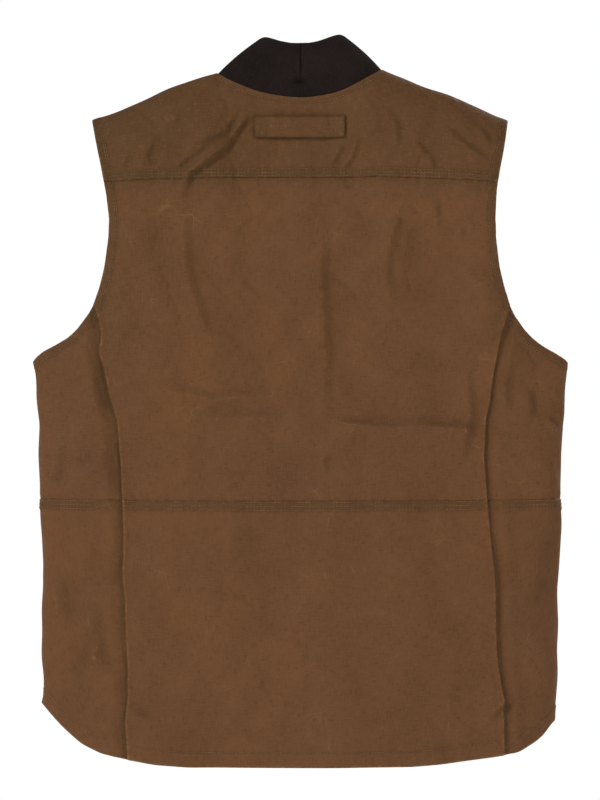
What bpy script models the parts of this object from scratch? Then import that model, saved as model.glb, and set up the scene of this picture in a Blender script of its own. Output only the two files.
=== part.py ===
"""A sleeveless waxed-canvas fishing vest with a rib-knit collar, a full-length zip and four pockets.

Heights below are measured up from the middle of the hem, and the empty "vest" then lowers everything,
so that the world origin lies between the two shoulder seams, where a hanger or the wearer holds it.
The back faces -Y, the front faces +Y, and the wearer's right is +X. Metres throughout.
"""
import math

import bmesh
import bpy
import numpy as np

HANG_HEIGHT = 0.7305          # the neck ends of the shoulder seams above the hem
CANVAS = 0.0012               # thickness of one canvas layer
THIN = 0.0006                 # facings, tapes
LINING = 0.0007
KNIT = 0.0026
SEAM_GAP = 0.0005             # half of the space between two panels that meet at a seam

# Side folds: (height, half width of the vest)
SIDE_FOLD = [(0.0, 0.2675), (0.10, 0.2685), (0.20, 0.2703), (0.30, 0.2727), (0.36, 0.2738), (0.426, 0.280)]
# Armhole edge from the underarm corner to the shoulder tip: (half width, height)
ARMHOLE = [
    (0.280, 0.426), (0.268, 0.434), (0.255, 0.4415), (0.243, 0.450), (0.232, 0.460),
    (0.2225, 0.472), (0.2155, 0.485), (0.2095, 0.503), (0.2045, 0.525), (0.2005, 0.555),
    (0.200, 0.575), (0.2035, 0.603), (0.209, 0.635), (0.217, 0.677),
]
# Seam between the back and the side panel: (height, half width)
SIDE_BACK_SEAM = [(0.0, 0.1955), (0.18, 0.193), (0.30, 0.189), (0.364, 0.191), (0.424, 0.200), (0.485, 0.2155)]
# Hem: (half width, height)
HEM = [(0.0, 0.0), (0.115, 0.0), (0.15, 0.0022), (0.18, 0.0068), (0.21, 0.0155), (0.24, 0.0335), (0.26, 0.058),
       (0.2675, 0.070)]
SIDE_FRONT_SEAM = 0.246       # half width of the seam between the front and the side panel
NECK_HALF_WIDTH = 0.087
NECK_BACK_LOW = 0.704
NECK_FRONT_LOW = 0.643
NECK_BACK_RISE = 0.0262
NECK_FRONT_RISE = 0.0868
SHOULDER_SLOPE = 0.41
SHOULDER_ROUND = 0.045        # the height over which the cloth rounds over the shoulder
YOKE_SEAM = 0.6145
YOKE_SEAM_RISE = 0.005
WAIST_SEAM = 0.2815

# Depth of each face at the middle: at the hem, and how much it loses per metre of height
BACK_DEPTH, BACK_TAPER, BACK_FLATNESS = 0.052, 0.040, 4
FRONT_DEPTH, FRONT_TAPER, FRONT_FLATNESS = 0.058, 0.052, 6

# The line about which a front opens, as x and y at the hem, and what each loses per metre of height
FOLD_X, FOLD_X_TAPER = 0.222, 0.1816
FOLD_Y, FOLD_Y_TAPER = 0.0545, 0.0417

# Depths of the layers below the outer face
FACING_INSET, LINING_INSET, FRONT_FACING_INSET, INNER_POCKET_INSET = 0.0022, 0.0038, 0.0028, 0.0050

ZIP_EDGE = 0.006              # half of the space between the two fronts
ZIP_INSET = 0.0019            # the middle of the teeth below the front's face
ZIP_TOP = 0.699
CHAIN_HALF_GAP, CHAIN_WIDTH, CHAIN_THICK = 0.0007, 0.0025, 0.0024
TAPE_IN, TAPE_OUT, TAPE_TOP = 0.0036, 0.016, 0.640
SLIDER_HEIGHT, SLIDER_LONG, SLIDER_HALF_WIDTH, SLIDER_PLATE, SLIDER_SPACE = 0.688, 0.011, 0.0045, 0.001, 0.0032

# Pockets: x from and to, z from and to, depth, the flap's height, how far the flap's seam is above the pocket
POCKETS = {
    "chest": (0.024, 0.108, 0.425, 0.540, 0.013, 0.046, 0.009),
    "lower": (0.026, 0.160, 0.055, 0.235, 0.024, 0.062, 0.010),
}
PULL_PIVOT = SLIDER_SPACE / 2 + SLIDER_PLATE + 0.0011   # the tab's bar out from the middle of the slider
CAP_RADIUS, CAP_THICK, STUD_RADIUS, STUD_THICK = 0.0075, 0.0022, 0.004, 0.0018

STRAP_HALF, STRAP_LOW, STRAP_HIGH, STRAP_THICK, STRAP_BOW = 0.0478, 0.661, 0.684, 0.0016, 0.0075

CANVAS_BROWN = ((0.130, 0.063, 0.028), 0.85, 0.0)
KNIT_BROWN = ((0.016, 0.009, 0.008), 0.95, 0.0)
LINING_TAN = ((0.16, 0.11, 0.07), 0.9, 0.0)
TAPE_DARK = ((0.04, 0.025, 0.018), 0.9, 0.0)
BRASS = ((0.28, 0.18, 0.08), 0.4, 1.0)


# ---- the set-up ----

def clear_scene():
    for obj in list(bpy.data.objects):
        bpy.data.objects.remove(obj, do_unlink=True)


def new_empty(name, place, parent=None, lean=0.0):
    """An empty at a place given in heights above the hem, which the carried pieces turn or slide with."""
    empty = bpy.data.objects.new(name, None)
    empty.empty_display_size = 0.02
    empty.parent = parent
    empty.location = np.array(place) - places.get(parent, 0)
    empty.rotation_euler.x = lean
    places[empty] = np.array(place)
    parts.objects.link(empty)
    return empty


def material(name, finish):
    colour, roughness, metallic = finish
    made = bpy.data.materials.new(name)
    made.use_nodes = True
    shader = made.node_tree.nodes["Principled BSDF"]
    shader.inputs["Base Color"].default_value = (*colour, 1.0)
    shader.inputs["Roughness"].default_value = roughness
    shader.inputs["Metallic"].default_value = metallic
    return made


def add_object(name, mesh, finish, carrier):
    """Puts a mesh, modelled in heights above the hem, under the empty that carries it."""
    obj = bpy.data.objects.new(name, mesh)
    mesh.materials.append(material(name, finish))
    parts.objects.link(obj)
    obj.parent = carrier
    obj.location = -places[carrier]
    return obj


# ---- the outline and the two faces ----

def along(points, at):
    """Reads a list of (position, value) pairs at a position, straight between them."""
    where, value = zip(*points)
    return float(np.interp(at, where, value))


def half_width(z):
    return along(SIDE_FOLD, z)


def armhole_x(z):
    return along([(height, width) for width, height in ARMHOLE], z)


def hem_z(x):
    return along(HEM, abs(x))


def yoke_z(x):
    return YOKE_SEAM + YOKE_SEAM_RISE * (1 - (x / armhole_x(YOKE_SEAM)) ** 2)


def waist_z(x):
    return WAIST_SEAM - 0.002 * (1 - min(abs(x) / 0.27, 1) ** 2)


def shoulder_z(x):
    return HANG_HEIGHT - SHOULDER_SLOPE * (abs(x) - NECK_HALF_WIDTH)


def neck_back_z(x):
    return NECK_BACK_LOW + NECK_BACK_RISE * (x / NECK_HALF_WIDTH) ** 2


def neck_front_z(x):
    return NECK_FRONT_LOW + NECK_FRONT_RISE * (x / NECK_HALF_WIDTH) ** 2


def top_back_z(x):
    return min(neck_back_z(x), shoulder_z(x) - 0.00005)


def top_front_z(x):
    return min(neck_front_z(x), shoulder_z(x) - 0.00005)


def back_edge_x(z):
    """Half width of the back panels: the side-back seam, then the armhole above it."""
    return along(SIDE_BACK_SEAM, z) if z < SIDE_BACK_SEAM[-1][0] else armhole_x(z)


def front_edge_x(z):
    """Half width of the front: the side-front seam, then the armhole above it."""
    return min(SIDE_FRONT_SEAM, armhole_x(z)) if z > ARMHOLE[0][1] else SIDE_FRONT_SEAM


def fold_x(z):
    return FOLD_X - FOLD_X_TAPER * z


def depth_at(z, front):
    return FRONT_DEPTH - FRONT_TAPER * z if front else BACK_DEPTH - BACK_TAPER * z


def face_y(x, z, front, inset=0.0):
    """The y of the cloth at x and z, on the front or on the back, inset below the outer face."""
    flatness = FRONT_FLATNESS if front else BACK_FLATNESS
    across = min(abs(x) / (half_width(z) - inset), 1)
    below = min(max(shoulder_z(x) - inset - z, 0) / SHOULDER_ROUND, 1)
    y = (depth_at(z, front) - inset) * math.sqrt(1 - across**flatness) * math.sqrt(1 - (1 - below) ** 2)
    return y if front else -y


def fold_angle(x, z, front):
    """How far round the side fold the half width x lies: negative on the back, positive on the front."""
    share = min(x / half_width(z), 1)
    return math.acos(share ** (FRONT_FLATNESS / 2)) if front else -math.acos(share ** (BACK_FLATNESS / 2))


def wrap_point(angle, z):
    """A point of the side panel, by its angle round the side fold."""
    front = angle > 0
    flatness = FRONT_FLATNESS if front else BACK_FLATNESS
    return half_width(z) * math.cos(angle) ** (2 / flatness), depth_at(z, front) * math.sin(angle), z


def height_where(x_at, limit, low, high):
    """The height between low and high at which a column of cloth meets a limiting edge."""
    for _ in range(40):
        middle = (low + high) / 2
        if middle < limit(x_at(middle)):
            low = middle
        else:
            high = middle
    return (low + high) / 2


# ---- sheets of cloth ----

def sheet_mesh(name, columns, rows, point, outward):
    """A grid whose every vertex goes to point(u, v), with u and v from 0 to 1, facing outward."""
    bm = bmesh.new()
    bmesh.ops.create_grid(bm, x_segments=columns, y_segments=rows, size=0.5)
    for vertex in bm.verts:
        vertex.co = point(vertex.co.x + 0.5, vertex.co.y + 0.5)
    bm.normal_update()
    if sum(face.normal.dot(outward) * face.calc_area() for face in bm.faces) < 0:
        bmesh.ops.reverse_faces(bm, faces=bm.faces)
    mesh = bpy.data.meshes.new(name)
    bm.to_mesh(mesh)
    bm.free()
    mesh.shade_smooth()
    return mesh


def add_sheet(name, columns, rows, point, outward, thickness, finish, carrier, offset=-1):
    obj = add_object(name, sheet_mesh(name, columns, rows, point, outward), finish, carrier)
    wall = obj.modifiers.new("Thickness", "SOLIDIFY")
    wall.thickness = thickness
    wall.offset = offset
    wall.use_even_offset = True
    return obj


def mirrored(side, xyz):
    return side * xyz[0], xyz[1], xyz[2]


def face_point(x_at, bottom, top, front, inset=0.0, round_top=False):
    """point(u, v) for a panel on one face: x_at(u, z) across it, from the bottom edge to the top edge."""
    spans = {}

    def point(u, v):
        if u not in spans:
            spans[u] = [height_where(lambda z: x_at(u, z), edge, -0.05, 0.80) for edge in (bottom, top)]
        low, high = spans[u]
        z = low + (high - low) * (math.sin(v * math.pi / 2) if round_top else v)
        x = x_at(u, z)
        return x, face_y(x, z, front, inset), z

    return point


def spread(u):
    """Columns closer together near both side edges, and one at each neck point's share of the width."""
    share = abs(2 * u - 1)
    return math.copysign(np.interp(share, [0, 0.5, 1], [0, 0.42, 1]), 2 * u - 1)


def add_back_panels():
    across = lambda u, z: spread(u) * (back_edge_x(z) - SEAM_GAP)
    panels = {
        "back_yoke": (12, 7, lambda x: yoke_z(x) + SEAM_GAP, top_back_z, True),
        "back_panel": (12, 11, lambda x: waist_z(x) + SEAM_GAP, lambda x: yoke_z(x) - SEAM_GAP, False),
        "back_skirt": (12, 8, hem_z, lambda x: waist_z(x) - SEAM_GAP, False),
    }
    for name, (columns, rows, bottom, top, round_top) in panels.items():
        point = face_point(across, bottom, top, False, round_top=round_top)
        add_sheet(name, columns, rows, point, (0, -1, 0), CANVAS, CANVAS_BROWN, vest)


def side_angle(t, z):
    start = fold_angle(back_edge_x(z) + SEAM_GAP, z, False)
    end = fold_angle(SIDE_FRONT_SEAM + SEAM_GAP, z, True)
    return start + (end - start) * t


def add_side_panel(name, side, rows, bottom, top):
    def point(t, v):
        x_at = lambda z: wrap_point(side_angle(t, z), z)[0]
        low = height_where(x_at, bottom, -0.05, 0.40)
        high = height_where(x_at, top, 0.10, 0.4849)
        z = low + (high - low) * v
        return mirrored(side, wrap_point(side_angle(t, z), z))

    add_sheet(name, 16, rows, point, (side, 0, 0), CANVAS, CANVAS_BROWN, vest)


def armhole_z(x):
    widths, heights = zip(*reversed(ARMHOLE[:7]))
    return float(np.interp(x, widths, heights))


def add_side_panels():
    for side, label in SIDES:
        add_side_panel(f"side_panel_upper_{label}", side, 6, lambda x: waist_z(x) + SEAM_GAP, armhole_z)
        add_side_panel(f"side_panel_lower_{label}", side, 8, hem_z, lambda x: waist_z(x) - SEAM_GAP)


def between(inner, outer, side):
    """x_at(u, z) from an inner edge to an outer edge, on one side of the vest."""
    return lambda u, z: side * (inner(z) + (outer(z) - inner(z)) * u)


def add_front_panels():
    for side, label in SIDES:
        fixed = between(lambda z: fold_x(z) + SEAM_GAP, lambda z: front_edge_x(z) - SEAM_GAP, side)
        point = face_point(fixed, hem_z, top_front_z, True, round_top=True)
        add_sheet(f"front_side_{label}", 6, 16, point, (0, 1, 0), CANVAS, CANVAS_BROWN, vest)
        moving = between(lambda z: ZIP_EDGE, lambda z: fold_x(z) - SEAM_GAP, side)
        point = face_point(moving, hem_z, top_front_z, True, round_top=True)
        add_sheet(f"front_panel_{label}", 7, 14, point, (0, 1, 0), CANVAS, CANVAS_BROWN, fronts[label])


# ---- collar ----

# The collar's upper edge, from the middle of the back at 0, by its side fold at 0.5, to the zip at 1:
# (share, x, y, z)
COLLAR_TOP = [
    (0.0, 0.0, -0.020, 0.7575), (0.26, 0.021, -0.0165, 0.7610), (0.5, 0.040, -0.002, 0.767),
    (0.64, 0.055, 0.010, 0.749), (0.80, 0.044, 0.018, 0.724), (1.0, 0.0052, 0.0225, 0.704),
]
COLLAR_GAP = 0.0014
ZIP_TO_COLLAR = 0.0052


def collar_foot(s):
    """The collar's lower edge, from the middle of the back at 0, by the neck point at 0.5, to the zip at 1."""
    if s <= 0.5:
        x = NECK_HALF_WIDTH * 2 * s
        z = top_back_z(x)
    else:
        x = NECK_HALF_WIDTH + (ZIP_TO_COLLAR - NECK_HALF_WIDTH) * (2 * s - 1)
        z = top_front_z(x)
    return np.array((x, face_y(x, z, s > 0.5), z + COLLAR_GAP))


def collar_head(s):
    share, *edges = zip(*COLLAR_TOP)
    return np.array([np.interp(s, share, edge) for edge in edges])


def collar_point(start, end, side):
    def point(u, v):
        s = start + (end - start) * u
        turn = side if s >= 0 else -side
        foot, head = collar_foot(abs(s)), collar_head(abs(s))
        x, y, z = foot + (head - foot) * v
        return turn * x, y, z

    return point


def add_collar():
    back = collar_point(-0.482, 0.482, 1)
    add_sheet("collar_back", 20, 3, back, (0, -1, 0), KNIT, KNIT_BROWN, vest)
    for side, label in SIDES:
        front = collar_point(0.522, 1.0, side)
        add_sheet(f"collar_front_{label}", 10, 3, front, (0, 1, 0), KNIT, KNIT_BROWN, fronts[label])


# ---- strap, facings, linings ----

def add_nape_strap():
    flat = -face_y(STRAP_HALF, STRAP_LOW, False) + 0.0012
    profile = [(0.0, 0), (0.012, 0), (0.022, STRAP_BOW), (STRAP_HALF, STRAP_BOW)]

    def point(u, v):
        x = (2 * u - 1) * STRAP_HALF
        rise = along(profile, STRAP_HALF - abs(x))
        return x, -flat - rise, STRAP_LOW + (STRAP_HIGH - STRAP_LOW) * v

    add_sheet("nape_strap", 24, 1, point, (0, -1, 0), STRAP_THICK, CANVAS_BROWN, vest, offset=1)


def add_linings():
    side_room, armhole_room, edge_room, hem_room = 0.010, 0.017, 0.012, 0.019
    low = lambda x: hem_z(x) + hem_room

    def outer(z):
        room = along([(0.38, side_room), (0.43, armhole_room)], z)
        return (armhole_x(z) if z > ARMHOLE[0][1] else half_width(z)) - room

    across = lambda u, z: math.sin((u - 0.5) * math.pi) * outer(z)
    point = face_point(across, low, lambda x: top_back_z(x) - edge_room, False, LINING_INSET)
    add_sheet("lining_back", 14, 14, point, (0, -1, 0), LINING, LINING_TAN, vest)
    for side, label in SIDES:
        fixed = between(lambda z: fold_x(z) + 2 * SEAM_GAP, outer, side)
        point = face_point(fixed, low, lambda x: top_front_z(x) - edge_room, True, LINING_INSET)
        add_sheet(f"lining_side_{label}", 5, 14, point, (0, 1, 0), LINING, LINING_TAN, vest)
        moving = between(lambda z: 0.044, lambda z: fold_x(z) - 2 * SEAM_GAP, side)
        point = face_point(moving, low, lambda x: top_front_z(x) - edge_room, True, LINING_INSET)
        add_sheet(f"lining_front_{label}", 5, 14, point, (0, 1, 0), LINING, LINING_TAN, fronts[label])


def add_facings():
    band = 0.016
    low, high = (lambda x: hem_z(x) + 0.001), (lambda x: hem_z(x) + band)
    across = lambda u, z: math.sin((u - 0.5) * math.pi) * (half_width(z) - 0.012)
    point = face_point(across, low, high, False, FACING_INSET)
    add_sheet("hem_facing_back", 16, 1, point, (0, -1, 0), THIN, CANVAS_BROWN, vest)
    for side, label in SIDES:
        hem = between(lambda z: 0.044, lambda z: fold_x(z) - 2 * SEAM_GAP, side)
        point = face_point(hem, low, high, True, FACING_INSET)
        add_sheet(f"hem_facing_{label}", 6, 1, point, (0, 1, 0), THIN, CANVAS_BROWN, fronts[label])
        strip = between(lambda z: 0.010, lambda z: 0.042, side)
        point = face_point(strip, lambda x: 0.004, lambda x: neck_front_z(x) - 0.003, True, FRONT_FACING_INSET)
        add_sheet(f"front_facing_{label}", 2, 10, point, (0, 1, 0), 0.0008, CANVAS_BROWN, fronts[label])


def add_armhole_facings():
    edge = np.array(ARMHOLE)
    step = np.linalg.norm(np.diff(edge, axis=0), axis=1)
    place = np.concatenate([[0], np.cumsum(step)]) / step.sum()
    near, width = 0.0012, 0.014

    def point(side, s, v):
        """s runs from the shoulder tip down the back, round the underarm and up the front."""
        front = s > 0.5
        at = min(abs(2 * s - 1), 0.985)
        here = np.array([np.interp(at, place, edge[:, k]) for k in (0, 1)])
        run = np.array([np.interp(at + 0.01, place, edge[:, k]) for k in (0, 1)]) - here
        inward = np.array([-run[1], run[0]]) / np.linalg.norm(run)
        x, z = here + inward * (near + width * v)
        x = min(x, half_width(z) - near - FACING_INSET)
        return side * x, face_y(x, z, front, FACING_INSET), z

    for side, label in SIDES:
        at = lambda u, v, side=side: point(side, u, v)
        add_sheet(f"armhole_facing_{label}", 44, 1, at, (side, 0, 0), THIN, CANVAS_BROWN, vest)


# ---- zip ----

def zip_y(z):
    return FRONT_DEPTH - FRONT_TAPER * z - ZIP_INSET


def add_bar(name, x_span, y_half, z_span, finish, carrier):
    """A straight bar along the zip, leaning with the front's face."""
    bm = bmesh.new()
    bmesh.ops.create_cube(bm, size=1)
    for vertex in bm.verts:
        u, v, w = (axis + 0.5 for axis in vertex.co)
        z = z_span[0] + (z_span[1] - z_span[0]) * w
        vertex.co = (x_span[0] + (x_span[1] - x_span[0]) * u, zip_y(z) + y_half * (2 * v - 1), z)
    mesh = bpy.data.meshes.new(name)
    bm.to_mesh(mesh)
    bm.free()
    return add_object(name, mesh, finish, carrier)


def add_zip_sides():
    starts = {"left": 0.0170, "right": 0.0125}
    for side, label in SIDES:
        carrier = fronts[label]
        chain = sorted((side * CHAIN_HALF_GAP, side * (CHAIN_HALF_GAP + CHAIN_WIDTH)))
        tape = sorted((side * TAPE_IN, side * TAPE_OUT))
        add_bar(f"zip_teeth_{label}", chain, CHAIN_THICK / 2, (starts[label], ZIP_TOP), BRASS, carrier)
        add_bar(f"zip_tape_{label}", tape, THIN / 2, (0.003, TAPE_TOP), TAPE_DARK, carrier)
    add_bar("zip_pin", (-0.0031, -CHAIN_HALF_GAP), 0.0011, (0.003, 0.0166), BRASS, fronts["left"])
    add_bar("zip_box", (CHAIN_HALF_GAP, 0.0033), 0.0015, (0.003, 0.0120), BRASS, fronts["right"])


def box_mesh(size, centre):
    bm = bmesh.new()
    bmesh.ops.create_cube(bm, size=1)
    bmesh.ops.scale(bm, vec=size, verts=bm.verts)
    bmesh.ops.translate(bm, vec=centre, verts=bm.verts)
    mesh = bpy.data.meshes.new("block")
    bm.to_mesh(mesh)
    bm.free()
    return mesh


def joined(name, meshes, finish, carrier):
    """The union of overlapping blocks, as one object in the carrier's own frame."""
    obj = bpy.data.objects.new(name, meshes[0])
    meshes[0].materials.append(material(name, finish))
    parts.objects.link(obj)
    obj.parent = carrier
    for index, mesh in enumerate(meshes[1:]):
        tool = bpy.data.objects.new(f"{name}_tool_{index}", mesh)
        cutters.objects.link(tool)
        tool.parent = carrier
        tool.hide_render = True
        tool.display_type = "WIRE"
        union = obj.modifiers.new("Join", "BOOLEAN")
        union.operation = "UNION"
        union.object = tool
    return obj


def add_slider():
    """Two plates held apart by a thin web that parts the teeth, with a bridge for the pull tab."""
    outer = SLIDER_SPACE / 2 + SLIDER_PLATE / 2
    wide = SLIDER_HALF_WIDTH * 2
    bridge_up, bridge_long, bridge = 0.0036, 0.0072, 0.0011
    top = SLIDER_SPACE / 2 + SLIDER_PLATE
    blocks = [
        box_mesh((wide, SLIDER_PLATE, SLIDER_LONG), (0, outer, 0)),
        box_mesh((wide, SLIDER_PLATE, SLIDER_LONG), (0, -outer, 0)),
        box_mesh((0.0006, SLIDER_SPACE + 0.001, 0.004), (0, 0, 0.0030)),
        box_mesh((0.0012, bridge_up, bridge), (0, top + bridge_up / 2 - 0.0005, bridge_long / 2)),
        box_mesh((0.0012, bridge_up, bridge), (0, top + bridge_up / 2 - 0.0005, -bridge_long / 2)),
        box_mesh((0.0012, bridge, bridge_long + bridge), (0, top + bridge_up - 0.0005 - bridge / 2, 0)),
    ]
    joined("zip_slider", blocks, BRASS, slider)


def add_pull():
    """A flat tab whose top bar runs through the slider's bridge."""
    bar, hole_w, hole_h, wide, long, thick = 0.0010, 0.0036, 0.0048, 0.0064, 0.025, 0.0010
    arm = (wide - hole_w) / 2
    blocks = [
        box_mesh((wide, thick, bar), (0, 0, 0)),
        box_mesh((arm, thick, hole_h + bar), (hole_w / 2 + arm / 2, 0, -hole_h / 2)),
        box_mesh((arm, thick, hole_h + bar), (-hole_w / 2 - arm / 2, 0, -hole_h / 2)),
        box_mesh((wide, thick, long - hole_h), (0, 0, -hole_h - (long - hole_h) / 2)),
    ]
    joined("zip_pull", blocks, BRASS, pull)


# ---- pockets ----

def stepped(count, low, high, wall):
    """Shares from 0 to 1 that put the first and the last step a wall's taper in from the edges."""
    inner = np.linspace(low + wall, high - wall, count - 1)
    return [low, *inner, high]


def add_pocket(kind, side, label):
    x0, x1, z0, z1, depth, _, _ = POCKETS[kind]
    taper, stand = 0.0015, 0.0005
    xs = stepped(6, x0, x1, taper)
    zs = [z0, *np.linspace(z0 + taper, z1, 5)]

    def point(u, v):
        i, j = round(u * 6), round(v * 5)
        x, z = xs[i], zs[j]
        out = 0 if i in (0, 6) or j == 0 else depth
        return side * x, face_y(x, z, True) + stand + out, z

    add_sheet(f"{kind}_pocket_{label}", 6, 5, point, (0, 1, 0), CANVAS, CANVAS_BROWN, fronts[label])


def flap_seat(kind):
    """Where a flap turns: the y and z of its sewn edge."""
    x0, _, _, z1, _, _, above = POCKETS[kind]
    return face_y(x0, z1 + above, True) + 0.0021, z1 + above


def add_flap(kind, side, label):
    x0, x1, _, z1, depth, height, above = POCKETS[kind]
    top = z1 + above
    clear = depth + 0.0034
    profile = [(0.0, 0.0014), (0.0022, clear * 0.55), (0.0075, clear), (0.018, clear + 0.0002), (height, clear)]

    def point(u, v):
        down, out = profile[round(v * 4)]
        x, z = x0 + (x1 - x0) * u, top - down
        base = face_y(x0, z, True) if v < 0.1 else face_y(x, z, True)
        return side * x, base + out, z

    carrier = flaps[kind, label]
    add_sheet(f"{kind}_flap_{label}", 6, 4, point, (0, 1, 0), CANVAS, CANVAS_BROWN, carrier, offset=1)


def add_disc(name, radius, thick, place, carrier):
    """A round button standing off the cloth, its axis square to the front's leaning face."""
    bm = bmesh.new()
    bmesh.ops.create_cone(bm, cap_ends=True, segments=20, radius1=radius, radius2=radius * 0.88, depth=thick)
    mesh = bpy.data.meshes.new(name)
    bm.to_mesh(mesh)
    bm.free()
    obj = add_object(name, mesh, BRASS, carrier)
    obj.location = np.array(place) - places[carrier]
    obj.rotation_euler.x = LEAN - math.pi / 2


def add_snaps(kind, side, label):
    x0, x1, _, z1, depth, height, above = POCKETS[kind]
    x, z = (x0 + x1) / 2, z1 + above - height + 0.012
    face = face_y(x, z, True)
    stud_y = face + 0.0005 + depth + 0.0003 + STUD_THICK / 2
    cap_y = face + depth + 0.0034 + CANVAS + 0.0005 + CAP_THICK / 2
    add_disc(f"{kind}_stud_{label}", STUD_RADIUS, STUD_THICK, (side * x, stud_y, z), fronts[label])
    add_disc(f"{kind}_cap_{label}", CAP_RADIUS, CAP_THICK, (side * x, cap_y, z), flaps[kind, label])


def add_inner_pocket():
    patch = between(lambda z: 0.050, lambda z: 0.128, -1)
    point = face_point(patch, lambda x: 0.300, lambda x: 0.440, True, INNER_POCKET_INSET)
    add_sheet("inner_pocket", 4, 6, point, (0, 1, 0), LINING, LINING_TAN, fronts["left"])


# ---- the vest ----

SIDES = ((-1, "left"), (1, "right"))
LEAN = math.atan(FRONT_TAPER)

clear_scene()
parts = bpy.data.collections.new("fishing_vest")
cutters = bpy.data.collections.new("cutters")
for collection in (parts, cutters):
    bpy.context.scene.collection.children.link(collection)

places = {}
vest = new_empty("vest", (0, 0, 0))
vest.location.z = -HANG_HEIGHT
fronts = {label: new_empty(f"front_{label}_fold", (side * FOLD_X, FOLD_Y, 0), vest) for side, label in SIDES}
slider = new_empty("zip_slider_run", (0, zip_y(SLIDER_HEIGHT), SLIDER_HEIGHT), fronts["right"], LEAN)
pull = new_empty("zip_pull_turn", (0, PULL_PIVOT, 0), None)
pull.parent = slider
flaps = {}
for kind in POCKETS:
    for side, label in SIDES:
        seat_y, seat_z = flap_seat(kind)
        flaps[kind, label] = new_empty(f"{kind}_flap_{label}_turn", (0, seat_y, seat_z), fronts[label])

add_back_panels()
add_side_panels()
add_front_panels()
add_collar()
add_nape_strap()
add_linings()
add_facings()
add_armhole_facings()
add_zip_sides()
add_slider()
add_pull()
add_inner_pocket()
for kind in POCKETS:
    for side, label in SIDES:
        add_pocket(kind, side, label)
        add_flap(kind, side, label)
        add_snaps(kind, side, label)
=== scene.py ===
import math

import bmesh
import bpy
import numpy as np
from mathutils import Matrix, Vector


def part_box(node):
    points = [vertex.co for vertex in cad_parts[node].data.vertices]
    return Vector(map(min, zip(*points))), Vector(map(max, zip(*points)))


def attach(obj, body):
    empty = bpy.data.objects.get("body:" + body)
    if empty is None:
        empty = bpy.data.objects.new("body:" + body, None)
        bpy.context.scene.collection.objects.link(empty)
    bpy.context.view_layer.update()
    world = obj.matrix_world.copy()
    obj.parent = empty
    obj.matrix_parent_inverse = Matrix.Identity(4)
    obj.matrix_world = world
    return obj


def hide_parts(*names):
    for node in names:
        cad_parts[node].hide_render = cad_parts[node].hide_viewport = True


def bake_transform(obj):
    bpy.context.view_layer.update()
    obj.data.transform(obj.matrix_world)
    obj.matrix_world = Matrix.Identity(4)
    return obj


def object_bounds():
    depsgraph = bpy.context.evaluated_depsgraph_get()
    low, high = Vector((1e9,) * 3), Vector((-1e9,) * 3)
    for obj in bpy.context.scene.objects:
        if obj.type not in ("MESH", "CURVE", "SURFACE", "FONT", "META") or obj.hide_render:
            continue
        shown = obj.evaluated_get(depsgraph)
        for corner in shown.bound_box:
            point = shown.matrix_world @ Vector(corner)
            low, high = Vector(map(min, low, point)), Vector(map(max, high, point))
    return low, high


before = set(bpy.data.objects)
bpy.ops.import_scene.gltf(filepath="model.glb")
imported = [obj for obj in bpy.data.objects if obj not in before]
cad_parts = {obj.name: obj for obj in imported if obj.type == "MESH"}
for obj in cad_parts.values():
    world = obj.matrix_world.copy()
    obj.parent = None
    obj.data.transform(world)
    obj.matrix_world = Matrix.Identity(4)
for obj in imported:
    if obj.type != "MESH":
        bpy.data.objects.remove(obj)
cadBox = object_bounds()

# Heights in the pattern are measured up from the middle of the hem; hang is the shoulder seams' height there
hang = -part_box("back_skirt")[0].z
sides = {"left": -1, "right": 1}

pattern = {
    "sideFold": [(0.0, 0.2675), (0.10, 0.2685), (0.20, 0.2703), (0.30, 0.2727), (0.36, 0.2738), (0.426, 0.280)],
    "armhole": [
        (0.426, 0.280), (0.434, 0.268), (0.4415, 0.255), (0.450, 0.243), (0.460, 0.232), (0.472, 0.2225),
        (0.485, 0.2155), (0.503, 0.2095), (0.525, 0.2045), (0.555, 0.2005), (0.575, 0.200), (0.603, 0.2035),
        (0.635, 0.209), (0.677, 0.217),
    ],
    "hemLeft": [
        (0.0, 0.0), (0.115, 0.0005), (0.15, 0.0032), (0.177, 0.0080), (0.207, 0.0150), (0.227, 0.0245),
        (0.247, 0.0410), (0.2675, 0.0660),
    ],
    "hemRight": [
        (0.0, 0.0), (0.115, 0.0014), (0.147, 0.0040), (0.177, 0.0080), (0.207, 0.0118), (0.227, 0.0160),
        (0.247, 0.0262), (0.257, 0.0335), (0.2675, 0.0470),
    ],
    "backSeamLeft": [
        (0.0, 0.1775), (0.031, 0.1805), (0.085, 0.1852), (0.135, 0.1835), (0.182, 0.181), (0.28, 0.189),
        (0.364, 0.191), (0.424, 0.201),
        (0.472, 0.210), (0.485, 0.2155),
    ],
    "backSeamRight": [
        (0.0, 0.2115), (0.074, 0.211), (0.109, 0.207), (0.182, 0.2035), (0.242, 0.197), (0.282, 0.1915),
        (0.324, 0.188), (0.366, 0.192), (0.383, 0.197), (0.424, 0.203), (0.485, 0.2155),
    ],
    "frontSeam": 0.246,          # half width of the seam between the front and the side panel
    "neckHalfWidth": 0.087,
    "yokeSeam": 0.6145,
    "waistSeam": 0.2815,
    "zipEdge": 0.006,
    "canvas": 0.0012,            # thickness of one layer
    "lap": 0.009,                # how far a panel runs on under the next one
    "hemTurn": 0.016,
}

# The vest's plain shape

heights = np.arange(-0.06, 0.82, 0.001)
widths = np.arange(0.0, 0.30, 0.001)


def smoothedTable(pairs, at, reach):
    where, value = zip(*pairs)
    plain = np.pad(np.interp(at, where, value), reach, mode="edge")
    weights = np.hanning(2 * reach + 1)
    return np.convolve(plain, weights / weights.sum(), "valid")


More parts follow.
